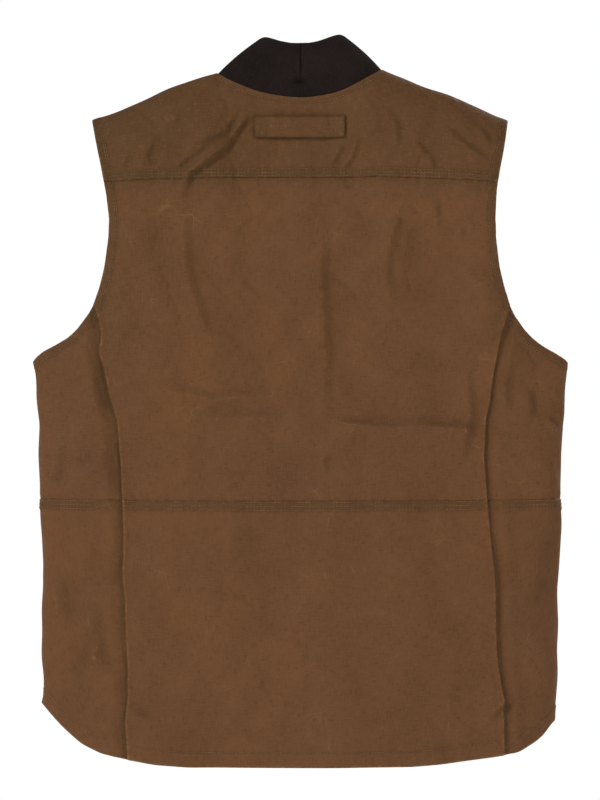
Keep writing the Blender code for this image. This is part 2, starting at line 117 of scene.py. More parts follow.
foldTable = smoothedTable(pattern["sideFold"], heights, 6)
armholeTable = smoothedTable(pattern["armhole"], heights, 4)
hemTables = {
    -1: smoothedTable(pattern["hemLeft"], widths, 8),
    1: smoothedTable(pattern["hemRight"], widths, 8),
}
seamTables = {
    -1: smoothedTable(pattern["backSeamLeft"], heights, 12),
    1: smoothedTable(pattern["backSeamRight"], heights, 12),
}


def halfWidth(z):
    return np.interp(z, heights, foldTable)


def armholeX(z):
    return np.interp(z, heights, armholeTable)


def underarmZ(x):
    part = (heights > 0.424) & (heights < 0.486)
    return np.interp(x, armholeTable[part][::-1], heights[part][::-1])


def hemZ(x, side=None):
    # the corner of the hem is cut higher on the wearer's left
    left = np.interp(np.abs(x), widths, hemTables[-1])
    right = np.interp(np.abs(x), widths, hemTables[1])
    return np.where(np.sign(x) < 0 if side is None else side < 0, left, right)


def backEdgeX(z, side):
    return np.where(z < 0.484, np.interp(z, heights, seamTables[side]), armholeX(z))


def frontEdgeX(z):
    return np.where(z > 0.43, np.minimum(pattern["frontSeam"], armholeX(z)), pattern["frontSeam"])


def shoulderZ(x):
    return hang - 0.41 * (np.abs(x) - pattern["neckHalfWidth"])


def neckBackZ(x):
    return np.minimum(0.704 + 0.0262 * (x / pattern["neckHalfWidth"]) ** 2, shoulderZ(x) - 0.000001)


def neckFrontZ(x):
    return np.minimum(0.643 + 0.0868 * (x / pattern["neckHalfWidth"]) ** 2, shoulderZ(x) - 0.000001)


def yokeZ(x):
    return pattern["yokeSeam"] + 0.005 * (1 - (x / 0.2045) ** 2)


def waistZ(x):
    return pattern["waistSeam"] - 0.002 * (1 - np.minimum(np.abs(x) / 0.27, 1) ** 2)


def depthAt(z, front):
    return np.where(front, 0.058 - 0.052 * z, 0.052 - 0.040 * z)


def onFace(x, z, front):
    # the point of the front or back face over x and z
    share = np.clip(1 - (np.abs(x) / halfWidth(z)) ** np.where(front, 6, 4), 0, 1)
    below = np.clip((shoulderZ(x) - z) / 0.045, 0, 1)
    y = depthAt(z, front) * np.sqrt(share * (2 * below - below**2))
    return np.stack(np.broadcast_arrays(x, np.where(front, y, -y), z), -1)


def onSide(angle, z, side):
    # the point of a side panel by its angle round the side fold, behind the fold when negative
    front = angle > 0
    x = halfWidth(z) * np.cos(angle) ** np.where(front, 1 / 3, 1 / 2)
    return np.stack(np.broadcast_arrays(side * x, depthAt(z, front) * np.sin(angle), z), -1)


def sideAngle(x, z, front):
    share = np.clip(x / halfWidth(z), 0, 1)
    return np.arccos(share**3) if front else -np.arccos(share**2)


def bulk(x, y, z, front):
    share = 1 - (np.abs(x) / halfWidth(z)) ** np.where(front, 6, 4)
    below = np.minimum((shoulderZ(x) - z) / 0.045, 1)
    return (y / depthAt(z, front)) ** 2 - share * (2 * below - below**2)


def outward(points):
    x, y, z = np.moveaxis(points, -1, 0)
    front, step = y > 0, 0.0003
    slopes = [
        bulk(x + step, y, z, front) - bulk(x - step, y, z, front),
        bulk(x, y + step, z, front) - bulk(x, y - step, z, front),
        bulk(x, y, z + step, front) - bulk(x, y, z - step, front),
    ]
    slopes = np.stack(slopes, -1)
    return slopes / np.maximum(np.linalg.norm(slopes, axis=-1, keepdims=True), 1e-12)


# How the cloth lies: slack, creases and puckers

def bell(value, centre, width):
    return np.exp(-(((value - centre) / width) ** 2))


def rise(value, low, high):
    t = np.clip((value - low) / (high - low), 0, 1)
    return t * t * (3 - 2 * t)


lie = {
    "seed": 11,
    "waves": [(0.34, 0.0020, 3), (0.17, 0.0014, 5), (0.09, 0.0008, 8), (0.045, 0.00032, 10)],
    "leastSlackNearZip": 0.030,
    # the last entry sets how much the crease ditches are painted darker: painted shade, partly also wax
    "leastCrease": 0.0004, "creaseGain": 1.5, "creaseShadeAndWax": 0.22,
}

chance = np.random.default_rng(lie["seed"])
slackWaves = []
for length, high, count in lie["waves"]:
    for _ in range(count):
        turn = chance.uniform(0, math.pi)
        direction = np.array([math.cos(turn), chance.uniform(-0.6, 0.6), math.sin(turn) * 0.75])
        stretch = length * chance.uniform(0.8, 1.25)
        slackWaves.append((direction * math.tau / stretch, chance.uniform(0, 6.3), high))

# Creases of the back: the line each follows, its half width, its height, and the share its far side dips
backCreases = [
    (
        [(-0.0500, 0.6890), (-0.0600, 0.6780), (-0.0782, 0.6513), (-0.1149, 0.6241), (-0.1253, 0.5916)],
        0.0040, 0.0019, 0.9,
    ),
    ([(0.0465, 0.6576), (0.0308, 0.6283)], 0.0045, 0.0012, 0.8),
    ([(0.1513, 0.6671), (0.1691, 0.6524), (0.1985, 0.6325)], 0.0040, 0.0012, 0.7),
    ([(0.1849, 0.6712), (0.1974, 0.6513)], 0.0035, 0.0010, 0.7),
    ([(-0.1767, 0.6461), (-0.1882, 0.6272)], 0.0040, 0.0010, 0.7),
    ([(0.1408, 0.5968), (0.1400, 0.5633)], 0.0040, 0.0010, 0.6),
    ([(0.1629, 0.5696), (0.1640, 0.5539)], 0.0040, 0.0008, 0.6),
    ([(-0.1253, 0.3668), (-0.0600, 0.3664), (-0.0038, 0.3668)], 0.0060, 0.0008, 0.8),
    ([(0.0277, 0.3610), (0.0800, 0.3585), (0.1262, 0.3558)], 0.0045, 0.0015, 0.9),
    ([(0.1052, 0.3600), (0.1891, 0.3537)], 0.0045, 0.0015, 0.9),
    ([(0.0350, 0.3327), (0.0235, 0.3223), (0.0298, 0.3034)], 0.0040, 0.0009, 0.8),
    ([(-0.1798, 0.0571), (-0.1526, 0.0498)], 0.0045, 0.0012, 0.7),
    ([(0.1503, 0.0686), (0.1691, 0.0697)], 0.0045, 0.0010, 0.7),
    ([(-0.0660, 0.6900), (-0.0790, 0.6680), (-0.1180, 0.6520)], 0.0038, 0.0012, 0.8),
    ([(-0.0900, 0.6600), (-0.1150, 0.6420), (-0.1330, 0.6270)], 0.0034, 0.0012, 0.8),
    ([(0.0880, 0.6900), (0.1020, 0.6700), (0.1010, 0.6480)], 0.0036, 0.0011, 0.8),
    ([(0.0620, 0.6660), (0.0560, 0.6420), (0.0420, 0.6240)], 0.0036, 0.0012, 0.8),
    ([(0.1180, 0.6560), (0.1360, 0.6370), (0.1400, 0.6240)], 0.0034, 0.0010, 0.8),
    ([(-0.1500, 0.6640), (-0.1600, 0.6420), (-0.1560, 0.6260)], 0.0034, 0.0009, 0.8),
    ([(0.0260, 0.6050), (0.0230, 0.5200), (0.0280, 0.4300), (0.0240, 0.3300)], 0.0060, 0.0007, 0.8),
    ([(-0.1230, 0.5950), (-0.1180, 0.5200), (-0.0920, 0.4400)], 0.0060, 0.0009, 0.8),
    ([(0.1050, 0.5950), (0.0900, 0.5300), (0.0950, 0.4700)], 0.0055, 0.0007, 0.8),
    ([(-0.1500, 0.4000), (-0.0900, 0.3860), (-0.0200, 0.3950)], 0.0050, 0.0008, 0.8),
    ([(0.1720, 0.4300), (0.1760, 0.3700), (0.1600, 0.3100)], 0.0055, 0.0009, 0.8),
    ([(-0.070, 0.520), (-0.045, 0.492), (-0.020, 0.470)], 0.0035, 0.0005, 0.6),
    ([(0.020, 0.520), (0.050, 0.500), (0.064, 0.470)], 0.0035, 0.0005, 0.6),
]
sideCreases = [
    ([(0.2362, 0.3977), (0.2383, 0.3841), (0.2341, 0.3621)], 0.0045, 0.0012, 0.8),
    ([(0.2551, 0.3663), (0.2687, 0.3495)], 0.0045, 0.0012, 0.8),
    ([(-0.2553, 0.2017), (-0.2511, 0.1504)], 0.0090, 0.0014, 0.8),
    ([(-0.2218, 0.1755), (-0.2144, 0.0917)], 0.0080, 0.0012, 0.8),
    ([(0.2550, 0.2600), (0.2420, 0.1700)], 0.0100, 0.0012, 0.8),
    ([(0.2140, 0.4300), (0.2100, 0.3700)], 0.0060, 0.0012, 0.8),
    ([(-0.2140, 0.4350), (-0.2060, 0.3600)], 0.0085, 0.0016, 0.9),
    ([(-0.2500, 0.3500), (-0.2580, 0.3100), (-0.2640, 0.2950)], 0.0060, 0.0012, 0.8),
    ([(-0.2350, 0.3050), (-0.2200, 0.3150), (-0.2020, 0.3400)], 0.0075, 0.0010, 0.8),
    ([(-0.2380, 0.0800), (-0.2200, 0.1200), (-0.2060, 0.1500)], 0.0085, 0.0012, 0.8),
    ([(0.2250, 0.0670), (0.2120, 0.0700), (0.1890, 0.0460)], 0.0050, 0.0014, 0.8),
]


def creaseField(x, z, creases):
    # the height the creases add, how strongly each ridge is rubbed, and how deeply each ditch is painted darker:
    # painted shade, partly also wax gathered there
    lift, rub, ditchShadeAndWax = np.zeros_like(x), np.zeros_like(x), np.zeros_like(x)
    for line, half, high, dip in creases:
        best = np.full_like(x, 1e9)
        signed = np.zeros_like(x)
        ends = np.zeros_like(x)
        total = len(line) - 1
        for index, ((x0, z0), (x1, z1)) in enumerate(zip(line, line[1:])):
            dx, dz = x1 - x0, z1 - z0
            span = math.hypot(dx, dz)
            raw = ((x - x0) * dx + (z - z0) * dz) / span**2
            t = np.clip(raw, 0, 1)
            away = np.hypot(x - x0 - t * dx, z - z0 - t * dz)
            nearer = away < best
            best = np.where(nearer, away, best)
            side = np.sign((x - x0) * dz - (z - z0) * dx)
            signed = np.where(nearer, away * side, signed)
            ends = np.where(nearer, (index + t) / total, ends)
        fade = rise(ends, -0.02, 0.30) * (1 - rise(ends, 0.70, 1.02))
        high = lie["leastCrease"] + lie["creaseGain"] * high
        ridge = np.exp(-((signed - 0.3 * half) / half) ** 2)
        ditch = np.exp(-((signed + 1.2 * half) / half) ** 2)
        lift += high * fade * (ridge - dip * ditch)
        rub += fade * np.exp(-((signed - 0.3 * half) / 0.0019) ** 2) * min(high / 0.0016, 1)
        # painted shade in the crease's ditch, partly also wax gathered there
        shadeAndWax = lie["creaseShadeAndWax"] * min(high / 0.0018, 1.4)
        ditchShadeAndWax += shadeAndWax * fade * bell(signed, -0.9 * half, 0.8 * half)
    return lift, rub, ditchShadeAndWax


def lieOfCloth(points):
    # height of the slack and creases at points of the plain shape, their rubbed ridges, and the painted shade and wax
    # that darken their ditches
    x, y, z = np.moveaxis(points, -1, 0)
    lift = np.zeros_like(x)
    for wave, phase, high in slackWaves:
        lift += high * np.sin(x * wave[0] + y * wave[1] + z * wave[2] + phase)
    onFront = rise(y, 0.0, 0.012)
    lift *= 1 - onFront * (1 - rise(np.abs(x), 0.008, lie["leastSlackNearZip"]))
    lift *= 0.35 + 0.65 * rise(np.abs(shoulderZ(x) - z), 0.0, 0.05)
    made, rub, ditchShadeAndWax = creaseField(x, z, backCreases + sideCreases)
    behind = 1 - rise(y, -0.006, 0.002)
    return lift + made * behind, rub * behind, ditchShadeAndWax * behind


def puckers(along, away, reach=0.008, high=0.00028):
    # ripples along a seam which die out away from it
    ripple = np.sin(along * 690 + 1.3) + 0.8 * np.sin(along * 910 + 4.0) + 0.7 * np.sin(along * 520 + 2.2)
    return high * ripple * np.exp(-np.abs(away) / reach)


# How far the sides have pulled out of true, by height
sway = {
    -1: [
        (0.0, 0.002), (0.05, 0.001), (0.075, -0.004), (0.10, -0.004), (0.16, 0.001), (0.20, 0.004), (0.24, 0.0),
        (0.28, -0.002), (0.32, -0.001), (0.36, 0.001), (0.39, 0.005), (0.42, 0.006), (0.436, 0.008), (0.452, 0.002),
        (0.60, 0.0), (0.68, 0.001),
    ],
    1: [
        (0.0, 0.003), (0.07, 0.004), (0.12, 0.002), (0.16, 0.002), (0.20, 0.004), (0.24, 0.004), (0.29, 0.006),
        (0.34, 0.006), (0.40, 0.002), (0.45, 0.002), (0.475, 0.005), (0.57, 0.006), (0.61, 0.003), (0.68, 0.002),
    ],
}
swayTables = {side: smoothedTable(pairs, heights, 8) for side, pairs in sway.items()}
shoulderLift = 0.0036            # the right shoulder sits a little higher


def swayed(points):
    x, y, z = np.moveaxis(points, -1, 0)
    pull = np.where(x < 0, -np.interp(z, heights, swayTables[-1]), np.interp(z, heights, swayTables[1]))
    raised = shoulderLift * rise(x, 0.03, 0.09) * (1 - rise(x, 0.15, 0.21)) * rise(z, 0.58, 0.72)
    return points + np.stack([pull * rise(np.abs(x), 0.07, 0.19), 0 * y, raised], -1)


def dressed(points, extra=0.0):
    # points of the plain shape moved out by the cloth's lie and by the piece's own height
    lift, _, _ = lieOfCloth(points)
    return swayed(points + outward(points) * (lift + extra)[..., None])


# Meshes

collection = bpy.data.collections.new("vestLooks")
bpy.context.scene.collection.children.link(collection)


def newPiece(name, mesh, material):
    obj = bpy.data.objects.new(name, mesh)
    collection.objects.link(obj)
    mesh.materials.append(material)
    mesh.shade_smooth()
    return obj


def gridMesh(name, points, facing, marks=None):
    # a sheet through a grid of points, with a map in metres of cloth and marks for its wear and shade
    rows, columns = points.shape[:2]
    bm = bmesh.new()
    layer = bm.loops.layers.uv.new("cloth")
    bmesh.ops.create_grid(bm, x_segments=columns - 1, y_segments=rows - 1, size=0.5)
    spots = np.array([vertex.co[:2] for vertex in bm.verts]) + 0.5
    across = np.rint(spots[:, 0] * (columns - 1)).astype(int)
    up = np.rint(spots[:, 1] * (rows - 1)).astype(int)
    stepsAcross = np.linalg.norm(np.diff(points, axis=1), axis=-1)
    stepsUp = np.linalg.norm(np.diff(points, axis=0), axis=-1)
    alongU = np.pad(np.cumsum(stepsAcross, axis=1), ((0, 0), (1, 0)))
    alongU -= alongU[:, columns // 2][:, None]
    alongV = np.pad(np.cumsum(stepsUp, axis=0), ((1, 0), (0, 0)))
    placed = points[up, across].copy()
    placed[:, 2] -= hang
    mapped = np.stack([alongU[up, across], alongV[up, across]], -1)
    for vertex, place in zip(bm.verts, placed):
        vertex.co = place
    bm.verts.index_update()
    for face in bm.faces:
        for loop in face.loops:
            loop[layer].uv = mapped[loop.vert.index]
    bm.normal_update()
    lean = Vector((0, 0, 0))
    for face in bm.faces:
        lean += face.normal * face.calc_area()
    if lean.dot(Vector(facing)) < 0:
        bmesh.ops.reverse_faces(bm, faces=bm.faces)
    mesh = bpy.data.meshes.new(name)
    bm.to_mesh(mesh)
    bm.free()
    for mark, values in (marks or {}).items():
        attribute = mesh.attributes.new(mark, "FLOAT", "POINT")
        attribute.data.foreach_set("value", values[up, across].astype(np.float32))
    size = (float(stepsAcross.sum(1).max()), float(stepsUp.sum(0).max()))
    quads = np.linalg.norm(
        np.cross(points[1:, 1:] - points[:-1, :-1], points[1:, :-1] - points[:-1, 1:]), axis=-1
    )
    return mesh, size, float(quads.sum() / 2)


def addSheet(name, points, facing, material, thick, marks=None, offset=-1):
    mesh, size, area = gridMesh(name, points, facing, marks)
    obj = newPiece(name, mesh, material)
    wall = obj.modifiers.new("Thickness", "SOLIDIFY")
    wall.thickness = thick
    wall.offset = offset
    return obj


def evenly(low, high, step):
    return np.linspace(low, high, max(2, round(abs(high - low) / step) + 1))


def spaced(low, high, step, fine=0.0012, ends=(True, True)):
    # even spacing with a few closer lines at the ends, for rolled edges
    middle = evenly(low, high, step)
    extra = []
    if ends[0]:
        extra += [low + fine * k for k in (0.33, 0.7, 1.2, 1.9)]
    if ends[1]:
        extra += [high - fine * k for k in (0.33, 0.7, 1.2, 1.9)]
    merged = np.unique(np.concatenate([middle, extra]))
    return merged[np.concatenate([[True], np.diff(merged) > fine * 0.2])]


def settled(xAt, limit, guess):
    # the height at which each column of cloth meets an edge
    z = np.full_like(guess, 0.3)
    for _ in range(30):
        z = limit(xAt(z))
    return z


def rolled(away, drop=0.0009, reach=0.0020):
    # the turn of a folded edge
    return -drop * (1 - np.clip(away / reach, 0, 1)) ** 2


print("pattern ready")

# Materials


class Wire:
    # an output of a material's nodes that sums and products can be written with
    def __init__(self, recipe, socket):
        self.recipe = recipe
        self.socket = socket

    def maths(self, operation, first, second=0.0):
        return self.recipe.add("ShaderNodeMath", {"operation": operation}, {0: first, 1: second})

    def __add__(self, other):
        return self.maths("ADD", self, other)

    __radd__ = __add__

    def __sub__(self, other):
        return self.maths("SUBTRACT", self, other)

    def __rsub__(self, other):
        return self.maths("SUBTRACT", other, self)

    def __mul__(self, other):
        return self.maths("MULTIPLY", self, other)

    __rmul__ = __mul__

    def __pow__(self, other):
        return self.maths("POWER", self, other)

    def sine(self):
        return self.maths("SINE", self)

    def size(self):
        return self.maths("ABSOLUTE", self)


class Recipe:
    def __init__(self, name, **plain):
        self.material = bpy.data.materials.new(name)
        self.material.use_nodes = True
        self.tree = self.material.node_tree
        self.shader = self.tree.nodes["Principled BSDF"]
        for socket, value in plain.items():
            self.shader.inputs[socket.replace("_", " ")].default_value = value

    def join(self, socket, value):
        if isinstance(value, Wire):
            self.tree.links.new(value.socket, socket)
        else:
            socket.default_value = value

    def add(self, kind, settings=None, inputs=None, output=0):
        node = self.tree.nodes.new(kind)
        for key, value in (settings or {}).items():
            if key == "stops":
                for stop, (place, shade) in zip(node.color_ramp.elements, value):
                    stop.position = place
                    stop.color = shade
            else:
                setattr(node, key, value)
        for key, value in (inputs or {}).items():
            self.join(node.inputs[key], value)
        return Wire(self, node.outputs[output])

    def noise(self, vector, scale, detail=4.0, roughness=0.6, distortion=0.0):
        values = {
            "Vector": vector, "Scale": scale, "Detail": detail, "Roughness": roughness, "Distortion": distortion,
        }
        return self.add("ShaderNodeTexNoise", {"noise_dimensions": "3D"}, values)

    def stretched(self, vector, scale):
        return self.add("ShaderNodeVectorMath", {"operation": "MULTIPLY"}, {0: vector, 1: scale})

    def between(self, value, low, high, start=0.0, end=1.0):
        values = {"Value": value, "From Min": low, "From Max": high, "To Min": start, "To Max": end}
        return self.add("ShaderNodeMapRange", {"interpolation_type": "SMOOTHSTEP"}, values)

    def mixed(self, factor, first, second):
        node = self.tree.nodes.new("ShaderNodeMix")
        node.data_type = "RGBA"
        self.join(node.inputs[0], factor)
        self.join(node.inputs[6], first)
        self.join(node.inputs[7], second)
        return Wire(self, node.outputs[2])

    def mark(self, name):
        return self.add("ShaderNodeAttribute", {"attribute_name": name}, output="Fac")

    def place(self):
        return self.add("ShaderNodeTexCoord", output="Object")

    def clothMap(self):
        return self.add("ShaderNodeUVMap", {"uv_map": "cloth"})

    def parted(self, vector):
        node = self.tree.nodes.new("ShaderNodeSeparateXYZ")
        self.join(node.inputs[0], vector)
        return [Wire(self, socket) for socket in node.outputs]

    def finish(self, colour=None, roughness=None, height=None, strength=0.5, distance=0.001, metallic=None):
        if colour is not None:
            self.join(self.shader.inputs["Base Color"], colour)
        if roughness is not None:
            self.join(self.shader.inputs["Roughness"], roughness)
        if metallic is not None:
            self.join(self.shader.inputs["Metallic"], metallic)
        if height is not None:
            values = {"Strength": strength, "Distance": distance, "Height": height}
            bump = self.add("ShaderNodeBump", None, values)
            self.join(self.shader.inputs["Normal"], bump)
        return self.material


def shade(red, green, blue):
    # a colour given as it looks on a screen, 0 to 255
    parts = []
    for part in (red, green, blue):
        part = part / 255
        parts.append(part / 12.92 if part <= 0.04045 else ((part + 0.055) / 1.055) ** 2.4)
    return (*parts, 1.0)


def weave(across, up, pitch):
    # over and under threads of a plain weave, 0 to 1
    return 0.5 + 0.5 * ((across * (math.pi / pitch)).sine() * (up * (math.pi / pitch)).sine())


canvasLook = {
    "worn": shade(107, 72, 43), "plain": shade(93, 61, 36), "deep": shade(76, 49, 28), "oliveAndShade": shade(66, 48, 23),
    "rub": shade(140, 104, 64), "pitch": 0.00075, "roughness": 0.72,
}


def makeCanvas():
    look = canvasLook
    recipe = Recipe("waxedCanvas", Specular_IOR_Level=0.14)
    place, cloth = recipe.place(), recipe.clothMap()
    across, up, _ = recipe.parted(cloth)
    broad = recipe.noise(place, 5.5, 3.0, 0.55)
    patches = recipe.noise(place, 23.0, 5.0, 0.62, 0.6)
    smudges = recipe.noise(place, 75.0, 5.0, 0.7)
    weft = recipe.noise(recipe.stretched(cloth, (110.0, 640.0, 1.0)), 1.0, 2.0, 0.6)
    warp = recipe.noise(recipe.stretched(cloth, (620.0, 100.0, 1.0)), 1.0, 2.0, 0.6)
    grain = recipe.noise(place, 420.0, 3.0, 0.7)
    threads = weave(across, up, look["pitch"])
    wear, toneAndPaintedShade = recipe.mark("wear"), recipe.mark("shade")

    colour = recipe.mixed(recipe.between(broad * 0.55 + patches * 0.45, 0.22, 0.80), look["plain"], look["worn"])
    colour = recipe.mixed(recipe.between(smudges, 0.48, 0.76) * 0.26, colour, look["deep"])
    # the shade mark darkens the colour toward a greenish brown: real colour at the yoke and seam bands, painted shade
    # in crease ditches, beside the back seams and at the strap's edges
    colour = recipe.mixed(toneAndPaintedShade, colour, look["oliveAndShade"])
    slub = (weft - 0.5) * 1.15 + (warp - 0.5) * 1.05 + (grain - 0.5) * 0.7
    colour = recipe.mixed(recipe.between(slub, 0.02, 0.46) * 0.85, colour, look["worn"])
    colour = recipe.mixed(recipe.between(slub, -0.02, -0.50) * 0.70, colour, look["deep"])
    colour = recipe.mixed((1 - threads) * 0.16, colour, look["deep"])
    broken = recipe.between(recipe.noise(place, 260.0, 4.0, 0.75), 0.42, 0.66)
    colour = recipe.mixed(recipe.between(wear * (0.35 + broken), 0.12, 1.1) * 0.75, colour, look["rub"])
    crackle = recipe.add("ShaderNodeTexVoronoi", {"feature": "DISTANCE_TO_EDGE"}, {"Vector": place, "Scale": 46.0})
    fewCracks = recipe.between(patches, 0.56, 0.70)
    colour = recipe.mixed(recipe.between(crackle, 0.020, 0.0) * fewCracks * 0.30, colour, look["rub"])

    least, most = look["roughness"] - 0.12, look["roughness"] + 0.14
    roughness = recipe.between(broad * 0.5 + smudges * 0.5, 0.3, 0.7, least, most)
    wander = recipe.add("ShaderNodeVectorMath", {"operation": "ADD"}, {
        0: place, 1: recipe.stretched(recipe.noise(place, 16.0, 3.0, 0.6), (0.05, 0.05, 0.05)),
    })
    folds = recipe.add("ShaderNodeTexVoronoi", {"feature": "DISTANCE_TO_EDGE"}, {"Vector": wander, "Scale": 17.0})
    crumpled = recipe.between(folds, 0.0, 0.16) * recipe.between(broad + toneAndPaintedShade * 0.35, 0.36, 0.60)
    height = threads * 0.4 + slub * 0.7 + smudges * 0.6 + crumpled * 5.0
    return recipe.finish(colour, roughness, height, 0.42, 0.0006)


def makeKnit():
    recipe = Recipe("ribKnit", Specular_IOR_Level=0.08, Sheen_Weight=0.02)
    place = recipe.place()
    _, up, _ = recipe.parted(recipe.clothMap())
    fuzz = recipe.noise(place, 420.0, 4.0, 0.7)
    fade = recipe.noise(place, 26.0, 4.0, 0.6)
    rib = recipe.mark("rib")
    loops = (up * (math.tau / 0.0013) + rib * 2.4).sine()
    colour = recipe.mixed(recipe.between(fade, 0.3, 0.7), shade(24, 17, 15), shade(34, 25, 23))
    colour = recipe.mixed(recipe.between(fuzz, 0.5, 0.78) * 0.55, colour, shade(54, 42, 38))
    # painted shade: the knit is darkened toward near-black between the ribs and in the collar's folds, where shade
    # falls
    colour = recipe.mixed((1 - rib) * 0.55, colour, shade(12, 9, 8))
    colour = recipe.mixed(recipe.between(loops, 0.2, 1.0) * 0.18, colour, shade(50, 39, 35))
    roughness = recipe.between(fuzz, 0.2, 0.8, 0.82, 0.98)
    return recipe.finish(colour, roughness, loops * 0.4 + fuzz * 0.8, 0.55, 0.0006)


def makeLining():
    recipe = Recipe("liningCloth", Specular_IOR_Level=0.25, Sheen_Weight=0.1)
    place, cloth = recipe.place(), recipe.clothMap()
    across, up, _ = recipe.parted(cloth)
    fade = recipe.noise(place, 9.0, 4.0, 0.6)
    slub = recipe.noise(recipe.stretched(cloth, (60.0, 1600.0, 1.0)), 1.0, 3.0, 0.6)
    threads = weave(across, up, 0.00055)
    colour = recipe.mixed(recipe.between(fade, 0.3, 0.7), shade(112, 92, 70), shade(132, 110, 84))
    colour = recipe.mixed(recipe.between(slub, 0.52, 0.75) * 0.5, colour, shade(92, 74, 55))
    colour = recipe.mixed((1 - threads) * 0.2, colour, shade(80, 63, 46))
    roughness = recipe.between(slub, 0.2, 0.8, 0.78, 0.95)
    return recipe.finish(colour, roughness, threads * 0.6 + slub * 0.6, 0.3, 0.0005)


def makeTape():
    recipe = Recipe("wovenTape", Specular_IOR_Level=0.3)
    cloth = recipe.clothMap()
    across, up, _ = recipe.parted(cloth)
    twill = ((across.size() * 1.0 + up) * (math.tau / 0.0016)).sine()
    wander = recipe.noise(recipe.place(), 300.0, 3.0, 0.6)
    colour = recipe.mixed(recipe.between(twill, -0.8, 0.8), shade(34, 26, 21), shade(55, 43, 34))
    colour = recipe.mixed(recipe.between(wander, 0.5, 0.8) * 0.4, colour, shade(74, 60, 48))
    return recipe.finish(colour, recipe.between(wander, 0.2, 0.8, 0.75, 0.92), twill, 0.4, 0.0004)


def makeThread():
    recipe = Recipe("waxedThread", Specular_IOR_Level=0.4)
    place = recipe.place()
    twist = recipe.noise(place, 1500.0, 2.0, 0.5)
    fade = recipe.noise(place, 60.0, 4.0, 0.65)
    colour = recipe.mixed(recipe.between(fade, 0.35, 0.68), shade(84, 64, 40), shade(126, 100, 66))
    colour = recipe.mixed(recipe.between(twist, 0.45, 0.7) * 0.35, colour, shade(62, 47, 30))
    return recipe.finish(colour, recipe.between(twist, 0.2, 0.8, 0.55, 0.8), twist, 0.5, 0.0002)


def makeBrass():
    recipe = Recipe("oldBrass", Metallic=1.0)
    place = recipe.place()
    tarnish = recipe.noise(place, 260.0, 5.0, 0.7)
    scratches = recipe.noise(recipe.stretched(place, (2400.0, 2400.0, 260.0)), 1.0, 3.0, 0.6)
    colour = recipe.mixed(recipe.between(tarnish, 0.35, 0.7), shade(178, 142, 88), shade(104, 78, 46))
    colour = recipe.mixed(recipe.between(scratches, 0.6, 0.8) * 0.5, colour, shade(206, 176, 124))
    roughness = recipe.between(tarnish, 0.3, 0.75, 0.30, 0.62)
    return recipe.finish(colour, roughness, scratches + tarnish, 0.25, 0.0002)


def makeFloor():
    recipe = Recipe("paleFloor", Emission_Strength=0.28)
    cloudy = recipe.noise(recipe.place(), 1.4, 4.0, 0.6)
    colour = recipe.mixed(recipe.between(cloudy, 0.3, 0.7), (0.86, 0.86, 0.85, 1), (0.90, 0.90, 0.89, 1))
    return recipe.finish(colour, recipe.between(cloudy, 0.3, 0.7, 0.75, 0.85), cloudy, 0.05, 0.001)


canvas, knit, liningCloth, tapeCloth = makeCanvas(), makeKnit(), makeLining(), makeTape()
thread, brass = makeThread(), makeBrass()
print("materials ready")

# The shell

armholeHeights = np.arange(0.426, 0.6772, 0.0014)
armholeLine = np.stack([armholeX(armholeHeights), armholeHeights], -1)


def fromArmhole(x, z):
    away = np.full(np.broadcast(x, z).shape, 1.0)
    for px, pz in armholeLine:
        away = np.minimum(away, np.hypot(np.abs(x) - px, z - pz))
    return away


def band(away, width=0.0095, high=0.0008):
    # the raised strip beside a felled seam or turned edge
    return high * (1 - rise(away, width - 0.0005, width + 0.0018))


def tucked(away):
    # the drop of a panel's edge where it runs under its neighbour
    return -0.0008 * (1 - rise(away, -0.0004, 0.0045))


def shellMarks(points, wear, toneAndPaintedShade):
    x, y, z = np.moveaxis(points, -1, 0)
    _, rub, ditchShadeAndWax = lieOfCloth(points)
    edge = fromArmhole(x, z)
    wear = wear + 0.40 * rub + 0.65 * bell(edge, 0, 0.0022) + 0.30 * bell(edge, 0.0085, 0.0016)
    toneAndPaintedShade = toneAndPaintedShade + 0.34 * rise(z, 0.58, 0.66) * (y < 0) + 0.16 * rise(-x, 0.02, 0.16) * rise(z, 0.34, 0.5) * (y < 0)
    # painted shade and wax in the crease ditches darken the colour here
    toneAndPaintedShade = toneAndPaintedShade + 0.25 * (1 - rise(edge, 0.008, 0.011)) + ditchShadeAndWax
    return {"wear": np.clip(wear, 0, 1.4), "shade": np.clip(toneAndPaintedShade, 0, 0.9)}


def backColumns(us, z):
    # x of the columns at heights z, each half reaching its own side seam
    return np.where(us < 0, us * backEdgeX(z, -1), us * backEdgeX(z, 1))


def backGrid(us, vs, low, high):
    xAt = lambda z: backColumns(us, z)
    bottom, top = settled(xAt, low, us), settled(xAt, high, us)
    z = bottom + (top - bottom) * vs[:, None]
    x = backColumns(us, z)
    return onFace(x, z, False), x, z


def sideSeamAway(x, z):
    return np.where(x < 0, backEdgeX(z, -1) + x, backEdgeX(z, 1) - x)


def makeYoke():
    us = spaced(-1, 1, 0.0122, 0.0058)
    vs = np.unique(np.concatenate([np.linspace(0, 0.14, 13), np.sin(np.linspace(0.1, math.pi / 2, 46))]))
    points, x, z = backGrid(us, vs, yokeZ, neckBackZ)
    away, edge = z - yokeZ(x), fromArmhole(x, z)
    extra = rolled(away) + band(away, 0.0098) + puckers(x, away - 0.010) + rolled(edge) + band(edge, 0.0090, 0.0004)
    extra = extra - 0.0006 * np.exp(-(((neckBackZ(x) - z - 0.0062) / 0.0016) ** 2)) * (np.abs(x) < 0.088)
    wear = 0.5 * bell(away, 0, 0.0016) + 0.12 * bell(away, 0.010, 0.002)
    marks = shellMarks(points, wear, 0.26 * (1 - rise(away, 0.009, 0.0115)))
    piece = addSheet("backYoke", dressed(points, extra), (0, -1, 0), canvas, pattern["canvas"], marks)
    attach(piece, "vest_back")
    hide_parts("back_yoke")


